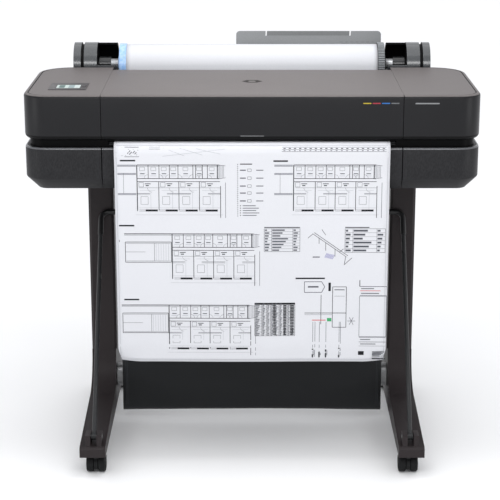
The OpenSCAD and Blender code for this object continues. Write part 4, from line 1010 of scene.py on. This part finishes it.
blank_table(6, 389, 97, 311, (22, 33, 42, 51, 61, 71, 80, 88), 21, "black")
rule("black", 6, 387.4, 97, 387.4, 3.4)
for x0, x1 in ((47, 54), (71, 78), (86, 95)):
    for k in range(20):
        rule("black", x0, 383 - k * 3.6, x1, 383 - k * 3.6, 1.7)
for a, b, c, d in ((118, 439, 157, 439), (157, 439, 164, 427), (164, 427, 157, 414), (157, 414, 118, 414),
                   (118, 414, 118, 439)):
    rule("grey", a, b, c, d, 1.0)
rule("grey", 126, 427, 150, 427, 2.6)
rule("black", 175, 437, 175, 417, 4.0)
frame_lines("black", 182, 427, 213, 331, 0.9)
rule("black", 119, 365, 213, 365, 1.0)
rule("grey", 119, 361, 182, 361, 0.5)
rule("black", 156, 408, 156, 338, 0.9)
rule("grey", 186, 420, 209, 420, 1.4)
rule("grey", 186, 405, 209, 405, 0.5)
patch("green", [(170, 353), (170, 345), (180, 345), (180, 353)])
rule("red", 136, 348, 167, 348, 1.4)
rule("red", 244, 418, 290, 418, 1.0)
for k in range(6):
    a = math.radians(60 * k)
    rule("grey", 225, 346, 225 + 9 * math.cos(a), 346 + 10 * math.sin(a), 0.8)
for x, low in ((138, 255), (143, 258), (153, 255), (168, 255), (198, 255), (201, 262)):
    rule("grey", x, 344, x, low, 0.7)
for x, high in ((138, 279), (153, 271), (168, 277), (198, 281)):
    rule("black", x, high, x, 257, 2.6)
    rule("grey", x + 3, high - 3, x + 3, 262, 1.0)
rule("black", 243, 443, 243, 428, 1.2)
for z, wide in ((428, 1.0), (407, 0.8), (307, 0.8), (296, 0.8), (286, 0.5)):
    rule("grey", 243, z, 304, z, wide)
frame_lines("grey", 243, 405, 304, 309, 0.7)
for z in (423, 412, 302, 291):
    rule("grey", 246, z, 246 + 20 + z % 23, z, 1.4)
patch("black", [(242, 273), (242, 263), (255, 263), (255, 273)])
for z in (271, 267.5, 264, 260.5):
    rule("grey", 274, z, 286 + z % 17, z, 1.5)
rule("black", 274, 253.5, 304, 253.5, 2.2)
frame_lines("pale", -300, 752, 300, 252, 0.6)
for ink, code, fleck in (
        ("black", "#141519", "#202126"), ("grey", "#4c4e55", "#5a5c63"), ("pale", "#a4a6ac", "#b3b5ba"),
        ("red", "#c04a4a", "#cc5a5a"), ("green", "#3f9a62", "#4da970"), ("violet", "#6d6aa8", "#7d7ab6")):
    cage = bmesh.new()
    for corners in strokes[ink]:
        face = cage.faces.new([cage.verts.new(p) for p in corners])
        face.normal_update()
        if face.normal.y > 0:
            face.normal_flip()
    lines = piece_from("plot_lines_" + ink, cage, 30)
    lines.data.materials.append(coating("pen_" + ink, code, fleck, 0.7, 0.05, grain=700, depth=0.000004))
    extra_piece(lines, "chassis")

# Print works: the carriage on its rod and rail with the toothed belt and its motor, the ribbed platen with
# the rollers that feed the paper, and the service station where the head parks.
carriage_black = coating("carriage_black", "#1c1d1f", "#28292b", 0.38, 0.06, grain=900, depth=0.00005)
for node in ("carriage", "service_station", "platen", "ink_bay"):
    keep_piece(eased_copy(node, "moulded_" + node, 0.0008, 2), node, carriage_black)
head_metal = coating("head_metal", "#a88a4c", "#c4a666", 0.3, 0.05, grain=300, depth=0.00002, metal=0.9)
keep_piece(eased_copy("printhead", "nozzle_plate", 0.0003), "printhead", head_metal)
belt_rubber = coating("belt_rubber", "#141415", "#1e1e1f", 0.6, 0.08, grain=260, depth=0.0003, stretch=(1, 0.01, 0.01))
keep_piece(eased_copy("carriage_belt", "toothed_belt", 0.0001), "carriage_belt", belt_rubber)
motor_steel = coating("motor_steel", "#6c6f72", "#808386", 0.34, 0.06, grain=260, depth=0.00002, metal=0.85)
keep_piece(eased_copy("carriage_motor", "stepper_motor", 0.0006), "carriage_motor", motor_steel)
for node in ("drive_pulley", "idler_pulley"):
    keep_piece(eased_copy(node, "turned_" + node, 0.0003), node, spindle_grey)
feed_rubber = coating("feed_rubber", "#333435", "#404142", 0.7, 0.07, grain=700, depth=0.0001)
for node in ("feed_roller", "pinch_wheels"):
    keep_piece(eased_copy(node, "rubber_" + node, 0.0004), node, feed_rubber)
cartridge_coats = coating("cartridge_plastic", "#3a3c3f", "#4a4c4f", 0.35, 0.05, grain=700, depth=0.00003)
keep_piece(eased_copy("ink_cartridges", "ink_cartridge_row", 0.0006), "ink_cartridges", cartridge_coats)
board_green = coating("board_green", "#1d4a33", "#245a3f", 0.4, 0.06, grain=240, depth=0.0001)
keep_piece(eased_copy("main_board", "main_circuit_board", 0.0002), "main_board", board_green)

# Sheet feeder: a grey moulded guide for single sheets that slides down into a sleeve behind the rear cover.
# A raised rib and two notches cross its top, and a few size marks are pressed into its right side.
tray_grey = coating("tray_grey", "#7d7f81", "#8a8c8d", 0.42, 0.05, grain=1100, depth=0.00005, patch=4.0)
tray_low, tray_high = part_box("feeder_tray")
lean = math.radians(3)
tray_thick, tray_long = 0.0024, 0.145
corner_r = 0.009


def tray_corner(x, start):
    return [(x + corner_r * math.cos(math.radians(start + 15 * k)),
             tray_long - corner_r + corner_r * math.sin(math.radians(start + 15 * k))) for k in range(7)]


tray_outline = [(tray_low[0], 0.0), (tray_high[0], 0.0)] + tray_corner(tray_high[0] - corner_r, 0)
for notch_x in (0.243, 0.035):
    tray_outline += [(notch_x + 0.0022, tray_long), (notch_x + 0.0012, tray_long - 0.012),
                     (notch_x - 0.0012, tray_long - 0.012), (notch_x - 0.0008, tray_long)]
tray_outline += tray_corner(tray_low[0] + corner_r, 90)


def on_tray(x, up, out):
    """A point on the leaning guide: up its face, and out in front of it."""
    return (x, tray_low[1] + up * math.sin(lean) - out * math.cos(lean),
            tray_low[2] + tray_thick * math.sin(lean) + up * math.cos(lean) + out * math.sin(lean))


def tray_slab(name, points, near, far):
    """A flat solid on the guide, between two distances out from its face."""
    return slab(name, *([on_tray(x, up, out) for x, up in points] for out in (near, far)))


guide = ease_edges(tray_slab("sheet_guide", tray_outline, -tray_thick, 0.0), 0.0006, harden=False)
keep_piece(guide, "feeder_tray", tray_grey)
rib_grey = coating("rib_grey", "#6a6c6d", "#767879", 0.4, 0.05, grain=1100, depth=0.00005)
rib_left, rib_right, rib_low, rib_high = 0.0385, 0.2405, 0.134, 0.1446
rib = tray_slab("sheet_guide_rib", [(rib_left, rib_low), (rib_right, rib_low), (rib_right, rib_high),
                                    (rib_left, rib_high)], 0.0, 0.0006)
rib.data.materials.append(rib_grey)
extra_piece(rib, body_of_node["feeder_tray"])
marks = set_in_a_row("sheet_size_marks", [on_tray(0.222, 0.118, 0.0001), on_tray(0.300, 0.118, 0.0001)],
                     (0.007, 0.0004, 0.0012), 0.0112, rib_grey, False)
extra_piece(marks, body_of_node["feeder_tray"])
keep_piece(eased_copy("feeder_sleeve", "moulded_feeder_sleeve", 0.0008), "feeder_sleeve", rear_grain)
